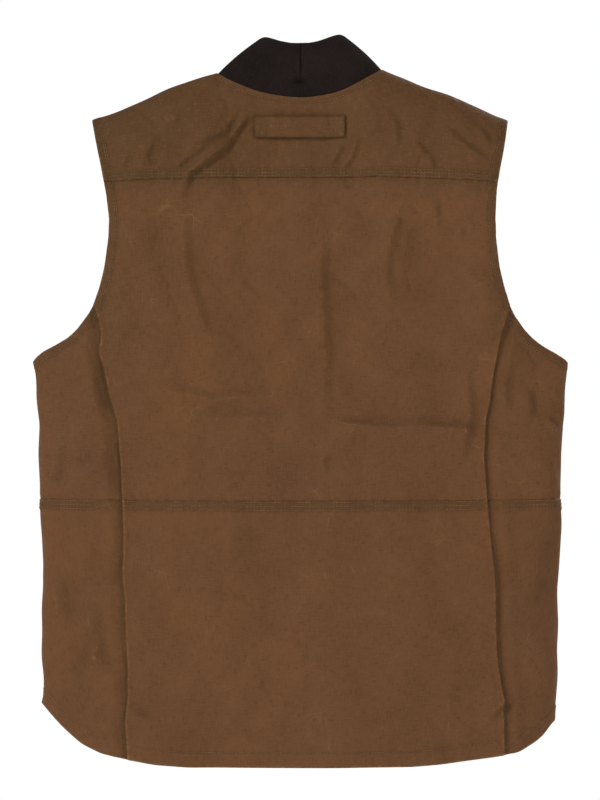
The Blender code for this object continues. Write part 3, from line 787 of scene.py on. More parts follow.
def makeBackPanel():
    us = spaced(-1, 1, 0.0124, 0.006)
    vs = evenly(0, 1, 0.0068)
    low, high = (lambda x: waistZ(x) - pattern["lap"]), (lambda x: yokeZ(x) + pattern["lap"])
    points, x, z = backGrid(us, vs, low, high)
    under, over = yokeZ(x) - z, z - waistZ(x)
    edge, seam = fromArmhole(x, z), sideSeamAway(x, z)
    sewn = (z < 0.480)
    extra = tucked(under) + tucked(over) + puckers(x, under) + puckers(x + 0.3, over)
    extra = extra + rolled(edge) + band(edge, 0.0090, 0.0004) + sewn * (rolled(seam) + band(seam, 0.0035, 0.0010))
    wear = sewn * 0.50 * bell(seam, 0.0014, 0.0016)
    marks = shellMarks(points, wear, 0.30 * np.exp(-np.clip(under, 0, 1) / 0.004))
    piece = addSheet("backPanel", dressed(points, extra), (0, -1, 0), canvas, pattern["canvas"], marks)
    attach(piece, "vest_back")
    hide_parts("back_panel")


def hemRows(bottom, top, count):
    # heights and hem distances for a face with a turned hem: first down the inside, then up the outside
    inside = np.array([pattern["hemTurn"], 0.012, 0.008, 0.005, 0.003, 0.0018, 0.0009, 0.0003])
    near = np.array([0.0, 0.0004, 0.0010, 0.0018, 0.0030, 0.0050])
    share = np.linspace(0, 1, count)[1:]
    z = [bottom + step for step in inside] + [bottom + step for step in near]
    start = bottom + near[-1]
    z += [start + (top - start) * part for part in share]
    drops = [-0.0012 - 0.0012 * rise(step, 0, 0.0016) for step in inside]
    drops += [-0.0012 * (1 - rise(step, 0, 0.0016)) for step in near] + [0.0] * len(share)
    return np.stack(z), np.array(drops)[:, None] * np.ones_like(bottom)


def makeSkirt():
    us = spaced(-1, 1, 0.0126, 0.006)
    xAt = lambda z: backColumns(us, z)
    bottom, top = settled(xAt, hemZ, us), settled(xAt, waistZ, us)
    z, drop = hemRows(bottom, top, 108)
    x = backColumns(us, z)
    points = onFace(x, z, False)
    away, seam, hem = waistZ(x) - z, sideSeamAway(x, z), z - hemZ(x)
    outside = drop > -0.00121
    extra = drop + outside * (rolled(away) + band(away, 0.0110) + puckers(x + 0.3, away - 0.011))
    extra = extra + outside * (rolled(seam) + band(seam, 0.0035, 0.0010) + puckers(x + 0.1, hem - 0.0165, 0.010))
    extra = extra + outside * (band(hem, 0.0165, 0.0005) - 0.0005)
    wear = outside * (0.45 * bell(away, 0, 0.0016) + 0.50 * bell(seam, 0.0014, 0.0016))
    wear = wear + 0.75 * bell(hem, 0, 0.0022) + 0.25 * bell(hem, 0.0165, 0.002)
    marks = shellMarks(points, wear, outside * 0.24 * (1 - rise(away, 0.010, 0.0125)))
    piece = addSheet("backSkirt", dressed(points, extra), (0, -1, 0), canvas, pattern["canvas"], marks)
    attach(piece, "vest_back")
    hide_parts("back_skirt", "hem_facing_back")


def sideColumns(ts, z, side):
    # angle round the side fold of the columns at heights z, from under the back to under the front
    lap = pattern["lap"]
    start = sideAngle(backEdgeX(z, side) - lap, z, False)
    end = sideAngle(pattern["frontSeam"] - lap, z, True)
    return start + (end - start) * ts


def sideExtra(points, side):
    x, y, z = np.moveaxis(points, -1, 0)
    x = np.abs(x)
    back = np.where(y < 0, x - backEdgeX(z, side), 1.0)
    front = np.where(y > 0, x - pattern["frontSeam"], 1.0)
    valley = -0.0036 * bell(back, 0.0045, 0.0038) + 0.0013 * bell(back, 0.0150, 0.006)
    return tucked(back) + tucked(front) + valley


def paintedFoldShade(points, side):
    # painted shade: the colour is darkened in the fold beside the back seam, where shade falls
    x, y, z = np.moveaxis(points, -1, 0)
    back = np.where(y < 0, np.abs(x) - backEdgeX(z, side), 1.0)
    return 0.55 * bell(back, 0.0030, 0.0030)


def makeSides():
    for label, side in sides.items():
        ts = np.linspace(0, 1, 62)
        xAt = lambda z: onSide(sideColumns(ts, z, side), z, 1)[..., 0]
        lap = pattern["lap"]
        low = settled(xAt, lambda x: waistZ(x) - lap, ts)
        high = settled(xAt, underarmZ, ts)
        vs = spaced(0, 1, 0.015, 0.008, (False, True))
        z = low + (high - low) * vs[:, None]
        points = onSide(sideColumns(ts, z, side), z, side)
        edge, over = fromArmhole(points[..., 0], z), z - waistZ(points[..., 0])
        extra = sideExtra(points, side) + rolled(edge) + band(edge, 0.0090, 0.0004) + tucked(over)
        extra = extra + puckers(points[..., 1] * 2, over)
        # painted shade in the fold beside the back seam
        marks = shellMarks(points, 0.0, paintedFoldShade(points, side))
        piece = addSheet(
            f"sideUpper_{label}", dressed(points, extra), (side, 0, 0), canvas, pattern["canvas"], marks
        )
        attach(piece, "vest_back")
        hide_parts(f"side_panel_upper_{label}")

        bottom, top = settled(xAt, lambda x: hemZ(x, side), ts), settled(xAt, waistZ, ts)
        z, drop = hemRows(bottom, top, 84)
        points = onSide(sideColumns(ts, z, side), z, side)
        outside = drop > -0.00121
        away, hem = waistZ(points[..., 0]) - z, z - hemZ(points[..., 0], side)
        extra = drop + sideExtra(points, side)
        extra = extra + outside * (rolled(away) + band(away, 0.0110) + puckers(points[..., 1] * 2, away - 0.011))
        extra = extra + outside * (band(hem, 0.0165, 0.0005) - 0.0005 + puckers(points[..., 1] * 2 + z, hem - 0.0165))
        wear = 0.75 * bell(hem, 0, 0.0022) + 0.45 * outside * bell(away, 0, 0.0016)
        wear = wear + 0.25 * bell(hem, 0.0165, 0.002)
        # painted shade in the fold beside the back seam
        toneAndPaintedShade = outside * 0.24 * (1 - rise(away, 0.010, 0.0125)) + outside * paintedFoldShade(points, side)
        marks = shellMarks(points, wear, toneAndPaintedShade)
        piece = addSheet(
            f"sideLower_{label}", dressed(points, extra), (side, 0, 0), canvas, pattern["canvas"], marks
        )
        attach(piece, "vest_back")
        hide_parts(f"side_panel_lower_{label}")


# The fronts


def bendsWithFront(piece):
    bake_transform(piece)


def frontGrid(us, side, inner, outer, low, high, count, turn=True):
    xAt = lambda z: inner(z) + (outer(z) - inner(z)) * us
    bottom, top = settled(xAt, low, us), settled(xAt, high, us)
    if turn:
        z, drop = hemRows(bottom, top, count)
    else:
        z = bottom + (top - bottom) * np.linspace(0, 1, count)[:, None]
        drop = np.zeros_like(z)
    x = xAt(z)
    return onFace(side * x, z, True), x, z, drop


def makeFronts():
    for label, side in sides.items():
        us = spaced(0, 1, 0.0102, 0.005)
        zipLine = lambda z: np.full_like(z, pattern["zipEdge"])
        points, x, z, drop = frontGrid(
            us, side, zipLine, frontEdgeX, lambda x: hemZ(x, side), neckFrontZ, 262
        )
        outside = drop > -0.00121
        edge, fold = fromArmhole(x, z), x - pattern["zipEdge"]
        seam = np.where(z < 0.445, pattern["frontSeam"] - x, 1.0)
        hem = z - hemZ(x, side)
        extra = drop + rolled(fold) + rolled(edge) + band(edge, 0.0090, 0.0004)
        extra = extra + rolled(seam) + band(seam, 0.0035, 0.001)
        extra = extra + outside * (band(hem, 0.0165, 0.0005) - 0.0005 + puckers(x + side, hem - 0.0165))
        extra = extra + 0.6 * puckers(z, fold - 0.008) * rise(fold, 0.002, 0.008)
        wear = 0.75 * bell(hem, 0, 0.0022) + 0.4 * bell(fold, 0, 0.0016)
        marks = shellMarks(points, wear, 0.10)
        piece = addSheet(
            f"front_{label}", dressed(points, extra), (0, 1, 0), canvas, pattern["canvas"], marks
        )
        bendsWithFront(piece)
        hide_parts(f"front_side_{label}", f"front_panel_{label}", f"hem_facing_{label}")


makeYoke()
makeBackPanel()
makeSkirt()
makeSides()
makeFronts()
print("shell made")

# Rib-knit collar

collarCut = {
    "top": [
        (0.0, 0.0, -0.020, 0.7575), (0.13, 0.0105, -0.019, 0.7580), (0.26, 0.021, -0.0165, 0.7605),
        (0.38, 0.031, -0.010, 0.7645), (0.46, 0.0372, -0.004, 0.7668), (0.5, 0.0405, 0.0, 0.7665),
        (0.54, 0.0440, 0.004, 0.7640), (0.64, 0.0545, 0.010, 0.750), (0.80, 0.044, 0.018, 0.724),
        (1.0, 0.0052, 0.0225, 0.704),
    ],
    "ribsBack": 74, "ribsFront": 44, "ribHigh": 0.0007, "thick": 0.0042, "bulge": 0.0020, "sunk": 0.006,
}


def collarFoot(s, turn):
    # the seam with the vest, from the middle of the back at 0, by the neck point at 0.5, to the zip at 1
    front = s > 0.5
    x = turn * np.where(front, 0.087 + (0.0052 - 0.087) * (2 * s - 1), 0.087 * 2 * s)
    return dressed(onFace(x, np.where(front, neckFrontZ(x), neckBackZ(x)), front), -0.0016)


def collarHead(s):
    share, *edges = zip(*collarCut["top"])
    fine = np.arange(0, 1.0001, 0.01)
    tables = [np.convolve(np.pad(np.interp(fine, share, e), 3, mode="reflect", reflect_type="odd"),
                          np.hanning(9)[1:-1] / np.hanning(9)[1:-1].sum(), "valid") for e in edges]
    return np.stack([np.interp(s, fine, table) for table in tables], -1)


def collarGrid(shares, ribs, side=1):
    # outer face up, over the folded top, and down the inside, with ribs
    cut = collarCut
    turn = side * np.where(shares < 0, -1, 1)
    s = np.abs(shares)
    foot, head = collarFoot(s, turn), collarHead(s)
    head[:, 0] *= turn
    higher = (turn > 0) * rise(s, 0.2, 0.42) * (1 - rise(s, 0.52, 0.7))
    head[:, 0] += 0.0055 * higher
    head[:, 2] += 0.0026 * higher
    v = np.concatenate([[-0.06, -0.03], np.linspace(0, 1, 26)])
    outer = foot + (head - foot) * v[:, None, None]
    normals = np.cross(np.gradient(outer, axis=1), np.gradient(outer, axis=0)) * side
    normals /= np.linalg.norm(normals, axis=-1, keepdims=True)
    swollen = cut["bulge"] * np.sin(np.clip(v, 0, 1) * math.pi) ** 0.8 - 0.0014 * (v < 0)
    outer = outer + normals * swollen[:, None, None]
    middle = bell(shares, 0, 0.07)
    crease = -0.0022 * np.exp(-(((shares[None] - 0.012) / 0.012) ** 2)) * rise(v, 0.25, 0.6)[:, None]
    crease = crease - 0.0042 * middle[None] * np.exp(-(((v[:, None] - 0.30) / 0.06) ** 2))
    crease = crease + 0.0012 * middle[None] * np.exp(-(((v[:, None] - 0.42) / 0.06) ** 2))
    outer = outer + normals * (crease * (s < 0.5)[None])[..., None]
    phase = shares * ribs * math.pi
    rib = np.abs(np.sin(phase)) ** 0.6
    # painted shade: the rib mark is lowered in the collar's horizontal fold and along its middle crease, so the
    # knit's colour darkens there as if in shade
    collarFoldShade = bell(shares, 0, 0.05) * np.exp(-(((v[:, None] - 0.29) / 0.07) ** 2))
    collarFoldShade = collarFoldShade + bell(shares, 0.012, 0.008) * rise(v, 0.35, 0.6)[:, None]
    top = outer[-1]
    upward = top - outer[-2]
    upward /= np.linalg.norm(upward, axis=-1, keepdims=True)
    thick = cut["thick"]
    rows = [outer[k] + normals[k] * (cut["ribHigh"] * (rib - 0.6))[:, None] for k in range(len(v))]
    for bend in np.linspace(0, math.pi, 9)[1:-1]:
        out = thick / 2 * (math.cos(bend) - 1)
        up = thick / 2 * math.sin(bend)
        spread = cut["ribHigh"] * (rib - 0.6)
        way = normals[-1] * math.cos(bend) + upward * math.sin(bend)
        rows.append(top + normals[-1] * out + upward * up + way * spread[:, None])
    for k in range(len(v) - 1, -1, -1):
        rows.append(outer[k] - normals[k] * (thick + cut["ribHigh"] * (rib - 0.6))[:, None])
    points = np.stack(rows)
    ribAndFoldShade = np.broadcast_to(rib, points.shape[:2]).copy()
    ribAndFoldShade[:len(v)] *= 1 - np.clip(collarFoldShade, 0, 1) * (s < 0.5)
    return points, ribAndFoldShade


def makeCollar():
    columns = collarCut["ribsBack"] * 6
    # the rib mark also carries the painted shade of the collar's folds
    points, rib = collarGrid(np.linspace(-0.5, 0.5, columns + 1), collarCut["ribsBack"])
    piece = addSheet("collarBack", points, (0, 0, -1), knit, 0.0007, {"rib": rib})
    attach(piece, "vest_back")
    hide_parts("collar_back")
    for label, side in sides.items():
        shares = np.linspace(0.5, 1.0, collarCut["ribsFront"] * 6 + 1)
        points, rib = collarGrid(shares, collarCut["ribsFront"] * 2, side)
        piece = addSheet(f"collarFront_{label}", points, (0, 0, -1), knit, 0.0007, {"rib": rib})
        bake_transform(piece)
        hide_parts(f"collar_front_{label}")


makeCollar()
print("collar made")

# Inside: linings and facings

inside = {"lining": 0.0007, "facing": 0.0006, "liningDrop": -0.0044, "facingDrop": -0.0030}


def liningOuter(z):
    room = np.interp(z, [0.38, 0.43], [0.010, 0.016])
    return np.where(z > 0.426, armholeX(z), halfWidth(z)) - room


def makeLinings():
    us = np.sin(np.linspace(-math.pi / 2, math.pi / 2, 96))
    xAt = lambda z: us * liningOuter(z)
    low, high = settled(xAt, lambda x: hemZ(x) + 0.014, us), settled(xAt, lambda x: neckBackZ(x) - 0.006, us)
    z = low + (high - low) * np.sin(np.linspace(0, math.pi / 2, 130))[:, None]
    points = onFace(us * liningOuter(z), z, False)
    sag = 0.0010 * np.sin(z * 61 + points[..., 0] * 34) * np.sin(z * 23 + 1.0)
    drop = inside["liningDrop"] + np.minimum(sag, 0.0003)
    piece = addSheet("liningBack", dressed(points, drop), (0, -1, 0), liningCloth, inside["lining"])
    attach(piece, "vest_back")
    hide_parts("lining_back")
    for label, side in sides.items():
        us = spaced(0, 1, 0.02, 0.005, (False, False))
        inner = lambda z: np.full_like(z, 0.040)
        points, x, z, _ = frontGrid(
            us, side, inner, liningOuter, lambda x: hemZ(x, side) + 0.014, lambda x: neckFrontZ(x) - 0.006, 130, False
        )
        sag = 0.0008 * np.sin(z * 57 + x * 30 + side) * np.sin(z * 21)
        drop = inside["liningDrop"] + np.minimum(sag, 0.0003)
        piece = addSheet(
            f"liningFront_{label}", dressed(points, drop), (0, 1, 0), liningCloth, inside["lining"]
        )
        bendsWithFront(piece)
        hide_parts(f"lining_side_{label}", f"lining_front_{label}")

        ts = np.linspace(0, 1, 46)

        def angles(z):
            start, end = sideAngle(halfWidth(z) - 0.034, z, False), sideAngle(halfWidth(z) - 0.034, z, True)
            return start + (end - start) * ts

        xAt = lambda z: onSide(angles(z), z, 1)[..., 0]
        low = settled(xAt, lambda x: hemZ(x, side) + 0.014, ts)
        high = settled(xAt, lambda x: underarmZ(x) - 0.013, ts)
        z = low + (high - low) * np.linspace(0, 1, 80)[:, None]
        points = onSide(angles(z), z, side)
        piece = addSheet(
            f"liningSide_{label}", dressed(points, inside["liningDrop"] - 0.0012), (side, 0, 0), liningCloth,
            inside["lining"]
        )
        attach(piece, "vest_back")


def alongArmhole(away, reach=0.999):
    # a line beside the armhole edge, from the underarm up to the shoulder
    steps = np.linalg.norm(np.diff(armholeLine, axis=0), axis=1)
    arc = np.concatenate([[0], np.cumsum(steps)]) / steps.sum()
    at = np.linspace(0.004, reach, 150)
    here = np.stack([np.interp(at, arc, armholeLine[:, k]) for k in (0, 1)], -1)
    run = np.gradient(here, axis=0)
    run /= np.linalg.norm(run, axis=1, keepdims=True)
    offset = here + np.stack([-run[:, 1], run[:, 0]], -1) * away
    x = np.minimum(offset[:, 0], halfWidth(offset[:, 1]) - 0.0004)
    return x, offset[:, 1]


def makeArmholeFacings():
    for label, side in sides.items():
        rows, drops = [], []
        for away in (0.0003, 0.0009, 0.0020, 0.005, 0.009, 0.013):
            backX, backZ = alongArmhole(away)
            x, z = np.concatenate([backX[::-1], backX]), np.concatenate([backZ[::-1], backZ])
            front = np.arange(len(x)) >= len(backX)
            x = np.minimum(x, halfWidth(z) - 0.003)
            rows.append(onFace(side * x, z, front))
            drops.append(np.full(len(x), -0.0012 - 0.0014 * rise(away, 0, 0.0022)))
        points = np.stack(rows)
        marks = shellMarks(points, 0.0, 0.2)
        piece = addSheet(
            f"armholeFacing_{label}", dressed(points, np.stack(drops)), (side, 0, 0), canvas,
            inside["facing"], marks
        )
        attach(piece, "vest_back")
        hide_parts(f"armhole_facing_{label}")


def makeFrontFacings():
    for label, side in sides.items():
        x = side * np.linspace(0.0078, 0.044, 14)
        z = np.linspace(0, 1, 200)[:, None] * (neckFrontZ(x) - 0.008) + 0.004
        points = onFace(np.broadcast_to(x, z.shape[:1] + x.shape), z, True)
        piece = addSheet(
            f"frontFacing_{label}", dressed(points, inside["facingDrop"]), (0, 1, 0), canvas,
            0.0008, shellMarks(points, 0.0, 0.2)
        )
        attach(piece, f"front_{label}")
        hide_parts(f"front_facing_{label}")


def makeInnerPocket():
    lo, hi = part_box("inner_pocket")
    x = np.linspace(lo.x, hi.x, 34)
    z = np.linspace(lo.z + hang, hi.z + hang, 54)[:, None]
    points = onFace(np.broadcast_to(x, (54, 34)), z, True)
    edge = np.minimum(np.minimum(x - lo.x, hi.x - x), z - lo.z - hang)
    drop = -0.0052 - 0.0022 * rise(edge, 0, 0.03) * rise(z, lo.z + hang, hi.z + hang)
    piece = addSheet(
        "innerPocket", dressed(points, drop), (0, 1, 0), liningCloth, 0.0009, None,
    )
    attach(piece, "front_left")
    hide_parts("inner_pocket")


makeLinings()
makeArmholeFacings()
makeFrontFacings()
makeInnerPocket()
print("inside made")

# Nape strap

strapCut = {"thick": 0.0015, "bow": 0.0014, "sewn": 0.0135, "risen": 0.024}


def strapPoints(x, z, away=0.0):
    lo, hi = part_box("nape_strap")
    fromEnd = (hi.x - lo.x) / 2 - np.abs(x)
    rising = strapCut["bow"] * rise(fromEnd, strapCut["sewn"], strapCut["risen"])
    edge = np.minimum(np.minimum(z - lo.z - hang, hi.z + hang - z), fromEnd)
    base = onFace(np.clip(x, lo.x, hi.x), z, False)
    return dressed(base, 0.0017 + strapCut["thick"] + rising + away + rolled(edge, 0.0009, 0.0016)), base


def makeStrap():
    lo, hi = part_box("nape_strap")
    x = spaced(lo.x, hi.x, 0.0013, 0.0007)
    z = spaced(lo.z + hang, hi.z + hang, 0.0012, 0.0006)[:, None]
    grid = np.broadcast_to(x, (len(z), len(x)))
    points, _ = strapPoints(grid, z + 0 * grid)
    fromEnd = hi.x - np.abs(grid)
    edge = np.minimum(np.minimum(z - lo.z - hang, hi.z + hang - z), fromEnd)
    wear = 0.22 * (1 - rise(fromEnd, 0.010, 0.016)) + 0.10 * np.exp(-((edge - 0.003) / 0.0010) ** 2)
    # painted shade: the strap's colour is darkened along its rolled edges, where shade falls
    marks = {"wear": wear, "shade": 0.35 + 0.5 * bell(edge, 0, 0.0016)}
    piece = addSheet(
        "napeStrap", points, (0, -1, 0), canvas, strapCut["thick"], marks
    )
    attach(piece, "vest_back")
    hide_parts("nape_strap")


makeStrap()

# Zip

zipCut = {
    "pitch": 0.0029, "tooth": (0.0031, 0.0023, 0.00135), "top": 0.699,
    "start": {"left": 0.018, "right": 0.0135},
}


def zipY(z):
    return depthAt(z, True) - 0.0019


def tiled(name, template, places, turns, material):
    # one mesh of many copies of a small template mesh, each with its own place and axes
    shape, faces = template
    count = len(places)
    corners = np.einsum("vi,nij->nvj", shape, turns) + places[:, None]
    corners = corners.reshape(-1, 3)
    corners[:, 2] -= hang
    listed = [[corner + index * len(shape) for corner in face] for index in range(count) for face in faces]
    mesh = bpy.data.meshes.new(name)
    mesh.from_pydata(corners.tolist(), [], listed)
    mesh.update()
    return newPiece(name, mesh, material)


def templateOf(bm):
    bm.verts.index_update()
    shape = np.array([vertex.co[:] for vertex in bm.verts])
    faces = [[vertex.index for vertex in face.verts] for face in bm.faces]
    bm.free()
    return shape, faces


def toothTemplate():
    bm = bmesh.new()
    bmesh.ops.create_cube(bm, size=1.0)
    bmesh.ops.scale(bm, verts=bm.verts, vec=zipCut["tooth"])
    bmesh.ops.bevel(
        bm, geom=bm.edges[:] + bm.verts[:], affect="EDGES", offset=0.00034, segments=2, profile=0.5, material=-1
    )
    return templateOf(bm)


def makeZip():
    teeth = toothTemplate()
    for label, side in sides.items():
        z = np.arange(zipCut["start"][label], zipCut["top"] - 0.0006, zipCut["pitch"])
        z = z + (zipCut["pitch"] / 2 if side > 0 else 0)
        z = z[z < zipCut["top"]]
        places = np.stack([np.full_like(z, side * 0.00165), zipY(z), z], -1)
        turns = np.broadcast_to(np.eye(3), (len(z), 3, 3))
        piece = tiled(f"zipTeeth_{label}", teeth, places, turns, brass)
        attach(piece, f"front_{label}")
        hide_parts(f"zip_teeth_{label}")

        x = np.array([0.0028, 0.0031, 0.0036, 0.0041, 0.0048, 0.007, 0.010, 0.013, 0.016]) * side
        z = np.linspace(0.003, 0.640, 250)[:, None]
        bead = np.exp(-(((np.abs(x) - 0.0036) / 0.0007) ** 2)) * 0.0005
        flat = x + 0 * z
        points = np.stack([flat, zipY(z) + bead + 0 * flat, z + 0 * flat], -1)
        tape = addSheet(f"zipTape_{label}", points, (0, 1, 0), tapeCloth, 0.0006)
        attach(tape, f"front_{label}")
        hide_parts(f"zip_tape_{label}")


def polished(name, node, body, width):
    # a CAD piece with its flats joined again and its edges eased
    bm = bmesh.new()
    bm.from_mesh(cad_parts[node].data)
    bmesh.ops.remove_doubles(bm, verts=bm.verts, dist=0.00001)
    bmesh.ops.dissolve_limit(bm, angle_limit=0.02, verts=bm.verts, edges=bm.edges)
    sharp = [edge for edge in bm.edges if len(edge.link_faces) == 2 and edge.calc_face_angle(0) > 0.5]
    bmesh.ops.bevel(bm, geom=sharp, affect="EDGES", offset=width, segments=2, profile=0.5, material=-1)
    bmesh.ops.recalc_face_normals(bm, faces=bm.faces)
    mesh = bpy.data.meshes.new(name)
    bm.to_mesh(mesh)
    bm.free()
    piece = newPiece(name, mesh, brass)
    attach(piece, body)
    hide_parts(node)


makeZip()
polished("zipSlider", "zip_slider", "zip_slider", 0.00022)
polished("zipPull", "zip_pull", "zip_pull", 0.00022)
polished("zipPin", "zip_pin", "front_left", 0.0004)
polished("zipBox", "zip_box", "front_right", 0.0004)
print("zip made")

# Pockets, flaps and press studs

pocketCuts = {
    "chest": {"gusset": 0.0065, "corner": 0.012, "sag": 0.0008, "depth": 0.013},
    "lower": {"gusset": 0.0095, "corner": 0.016, "sag": 0.0016, "depth": 0.024},
}


def roundedCorners(x, down, wide, corner):
    # squares at the two lower corners pressed into quarter discs; down is measured up from the lower edge
    middle = np.clip(x, corner, wide - corner)
    dx, dz = x - middle, np.minimum(down - corner, 0)
    inCorner = (np.abs(dx) > 0) & (dz < 0)
    scale = np.where(inCorner, np.maximum(np.abs(dx), np.abs(dz)) / np.maximum(np.hypot(dx, dz), 1e-9), 1)
    return middle + dx * scale, np.where(dz < 0, corner + dz * scale, down)


def swell(away, reach, high):
    return high * (1 - (1 - np.clip(away / reach, 0, 1)) ** 2.4) ** (1 / 2.4)


def pocketSurface(kind, a, b):
    # a and b run over the patch from 0 to 1; returns x on the right side, z and how far it stands out
    lo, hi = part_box(f"{kind}_pocket_right")
    cut = pocketCuts[kind]
    wide, tall = hi.x - lo.x, hi.z - lo.z
    x, up = roundedCorners(a * wide, b * tall, wide, cut["corner"])
    away = np.minimum(np.minimum(a * wide, (1 - a) * wide), b * tall)
    full = np.sin(np.clip(a, 0, 1) * math.pi) * (1 - 0.55 * b)
    out = 0.0016 + swell(away, cut["gusset"], cut["depth"]) + cut["sag"] * full
    return lo.x + x, lo.z + hang + up, out


def makePocket(kind, label, side):
    count = (70, 76) if kind == "chest" else (96, 110)
    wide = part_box(f"{kind}_pocket_right")[1].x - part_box(f"{kind}_pocket_right")[0].x
    a = np.unique(np.concatenate([np.linspace(0, 1, count[0]), np.linspace(0, 0.1, 14), np.linspace(0.9, 1, 14)]))
    b = np.unique(np.concatenate([np.linspace(0, 1, count[1]), np.linspace(0, 0.07, 12)]))[:, None]
    x, z, out = pocketSurface(kind, a + 0 * b, b + 0 * a)
    base = onFace(side * x, z, True)
    edge = np.minimum(np.minimum(a, 1 - a) * wide, b * 0.2)
    wear = 0.35 * bell(edge, pocketCuts[kind]["gusset"], 0.003) + 0.5 * np.exp(-(((1 - b) * 0.12 / 0.002) ** 2))
    marks = {"wear": wear + 0 * x, "shade": 0.12 + 0.3 * (1 - rise(edge, 0, 0.004)) + 0 * x}
    piece = addSheet(
        f"{kind}Pocket_{label}", dressed(base, out), (0, 1, 0), canvas, pattern["canvas"], marks,
    )
    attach(piece, f"front_{label}")
    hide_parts(f"{kind}_pocket_{label}")


def flapSurface(kind, a, down):
    # a across from 0 to 1, down in metres from the sewn edge
    lo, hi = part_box(f"{kind}_flap_right")
    cut = pocketCuts[kind]
    wide, tall = hi.x - lo.x, hi.z - lo.z
    x, up = roundedCorners(a * wide, tall - down, wide, 0.010)
    out = 0.0022 + swell(down, 0.0105, cut["depth"] + 0.0040 - 0.0022)
    return lo.x + x, lo.z + hang + up, out


def bendsWithFlap(piece):
    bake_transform(piece)


def makeFlap(kind, label, side):
    lo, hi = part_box(f"{kind}_flap_right")
    wide, tall = hi.x - lo.x, hi.z - lo.z
    a = spaced(0, 1, 0.0016 / wide, 0.0008 / wide)
    down = np.unique(np.concatenate([np.linspace(0, 0.012, 16), spaced(0.012, tall, 0.0018, 0.0008, (False, True))]))
    down = down[::-1][:, None]
    x, z, out = flapSurface(kind, a + 0 * down, down + 0 * a)
    base = onFace(side * x, z, True)
    edge = np.minimum(np.minimum(a, 1 - a) * wide, tall - down)
    out = out + rolled(edge, 0.0009, 0.0016) + 0.0003 * (1 - rise(edge, 0.006, 0.008))
    wear = 0.42 * bell(edge, 0, 0.0016) + 0.3 * bell(down, 0.009, 0.004)
    marks = {"wear": wear + 0 * x, "shade": 0.10 + 0.22 * (1 - rise(edge, 0.006, 0.009)) + 0 * x}
    piece = addSheet(
        f"{kind}Flap_{label}", dressed(base, out + 0.0012), (0, 1, 0), canvas, 0.0022, marks,
    )
    bendsWithFlap(piece)
    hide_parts(f"{kind}_flap_{label}")


studProfiles = {
    "cap": [
        (0.0, 0.00125), (0.0026, 0.00120), (0.0046, 0.00095), (0.0054, 0.00070), (0.0059, 0.00078),
        (0.0069, 0.00085), (0.0075, 0.00045), (0.0076, -0.00030), (0.0072, -0.00090), (0.0, -0.00100),
    ],
    "stud": [
        (0.0, 0.00020), (0.0012, 0.00020), (0.0014, 0.00095), (0.0023, 0.00100), (0.0026, 0.00040),
        (0.0038, 0.00010), (0.0040, -0.00050), (0.0038, -0.00090), (0.0, -0.00090),
    ],
}


def makeStud(name, node, body, profile):
    lo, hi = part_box(node)
    bm = bmesh.new()
    line = [bm.verts.new((radius, 0, high)) for radius, high in studProfiles[profile]]
    edges = [bm.edges.new(pair) for pair in zip(line, line[1:])]
    bmesh.ops.spin(
        bm, geom=line + edges, cent=(0, 0, 0), axis=(0, 0, 1), angle=math.tau, steps=40, use_merge=True
    )
    bmesh.ops.remove_doubles(bm, verts=bm.verts, dist=0.000002)
    bmesh.ops.recalc_face_normals(bm, faces=bm.faces)
    lean = Matrix.Rotation(math.atan(0.052) - math.pi / 2, 4, "X")
    bmesh.ops.transform(bm, matrix=Matrix.Translation((lo + hi) / 2) @ lean, verts=bm.verts)
    mesh = bpy.data.meshes.new(name)
    bm.to_mesh(mesh)
    bm.free()
    piece = newPiece(name, mesh, brass)
    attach(piece, body)
    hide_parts(node)


for kind in pocketCuts:
    for label, side in sides.items():
        makePocket(kind, label, side)
        makeFlap(kind, label, side)
        makeStud(f"{kind}Cap_{label}", f"{kind}_cap_{label}", f"{kind}_flap_{label}", "cap")
        makeStud(f"{kind}Stud_{label}", f"{kind}_stud_{label}", f"front_{label}", "stud")
print("pockets made")

# Stitching

stitchCut = {"long": 0.0029, "gap": 0.0007, "wide": 0.00062, "high": 0.00055}


def stitchTemplate():
    bm = bmesh.new()
    bmesh.ops.create_uvsphere(bm, u_segments=6, v_segments=4, radius=0.5)
    bmesh.ops.rotate(bm, verts=bm.verts, cent=(0, 0, 0), matrix=Matrix.Rotation(math.pi / 2, 3, "Y"))
    bmesh.ops.scale(bm, verts=bm.verts, vec=(stitchCut["long"], stitchCut["wide"], stitchCut["high"]))
    return templateOf(bm)


stitch = stitchTemplate()


def addStitches(name, rows):
    # rows are (points, outward directions) already on the cloth's surface
    places, turns = [], []
    pitch = stitchCut["long"] + stitchCut["gap"]
    for points, ways in rows:
        steps = np.linalg.norm(np.diff(points, axis=0), axis=1)
        arc = np.concatenate([[0], np.cumsum(steps)])
        count = int(arc[-1] / pitch)
        if count < 1:
            continue
        at = (np.arange(count) + 0.5) * arc[-1] / count
        read = lambda where, values: np.stack([np.interp(where, arc, values[:, k]) for k in range(3)], -1)
        middle, way = read(at, points), read(at, ways)
        run = read(at + pitch / 3, points) - read(at - pitch / 3, points)
        run /= np.linalg.norm(run, axis=1, keepdims=True)
        across = np.cross(way, run)
        across /= np.linalg.norm(across, axis=1, keepdims=True)
        slant = chance.normal(0, 0.05, (count, 1))
        run = run + across * slant
        across = np.cross(way, run)
        places.append(middle)
        turns.append(np.stack([run, across, np.cross(run, across)], 1))
    return tiled(name, stitch, np.concatenate(places), np.concatenate(turns), thread)


def onShell(base, extra):
    return dressed(base, extra), outward(base)


def backRow(heightOf, low, high, extra):
    x = np.linspace(low, high, 260)
    return onShell(onFace(x, heightOf(x), False), extra)


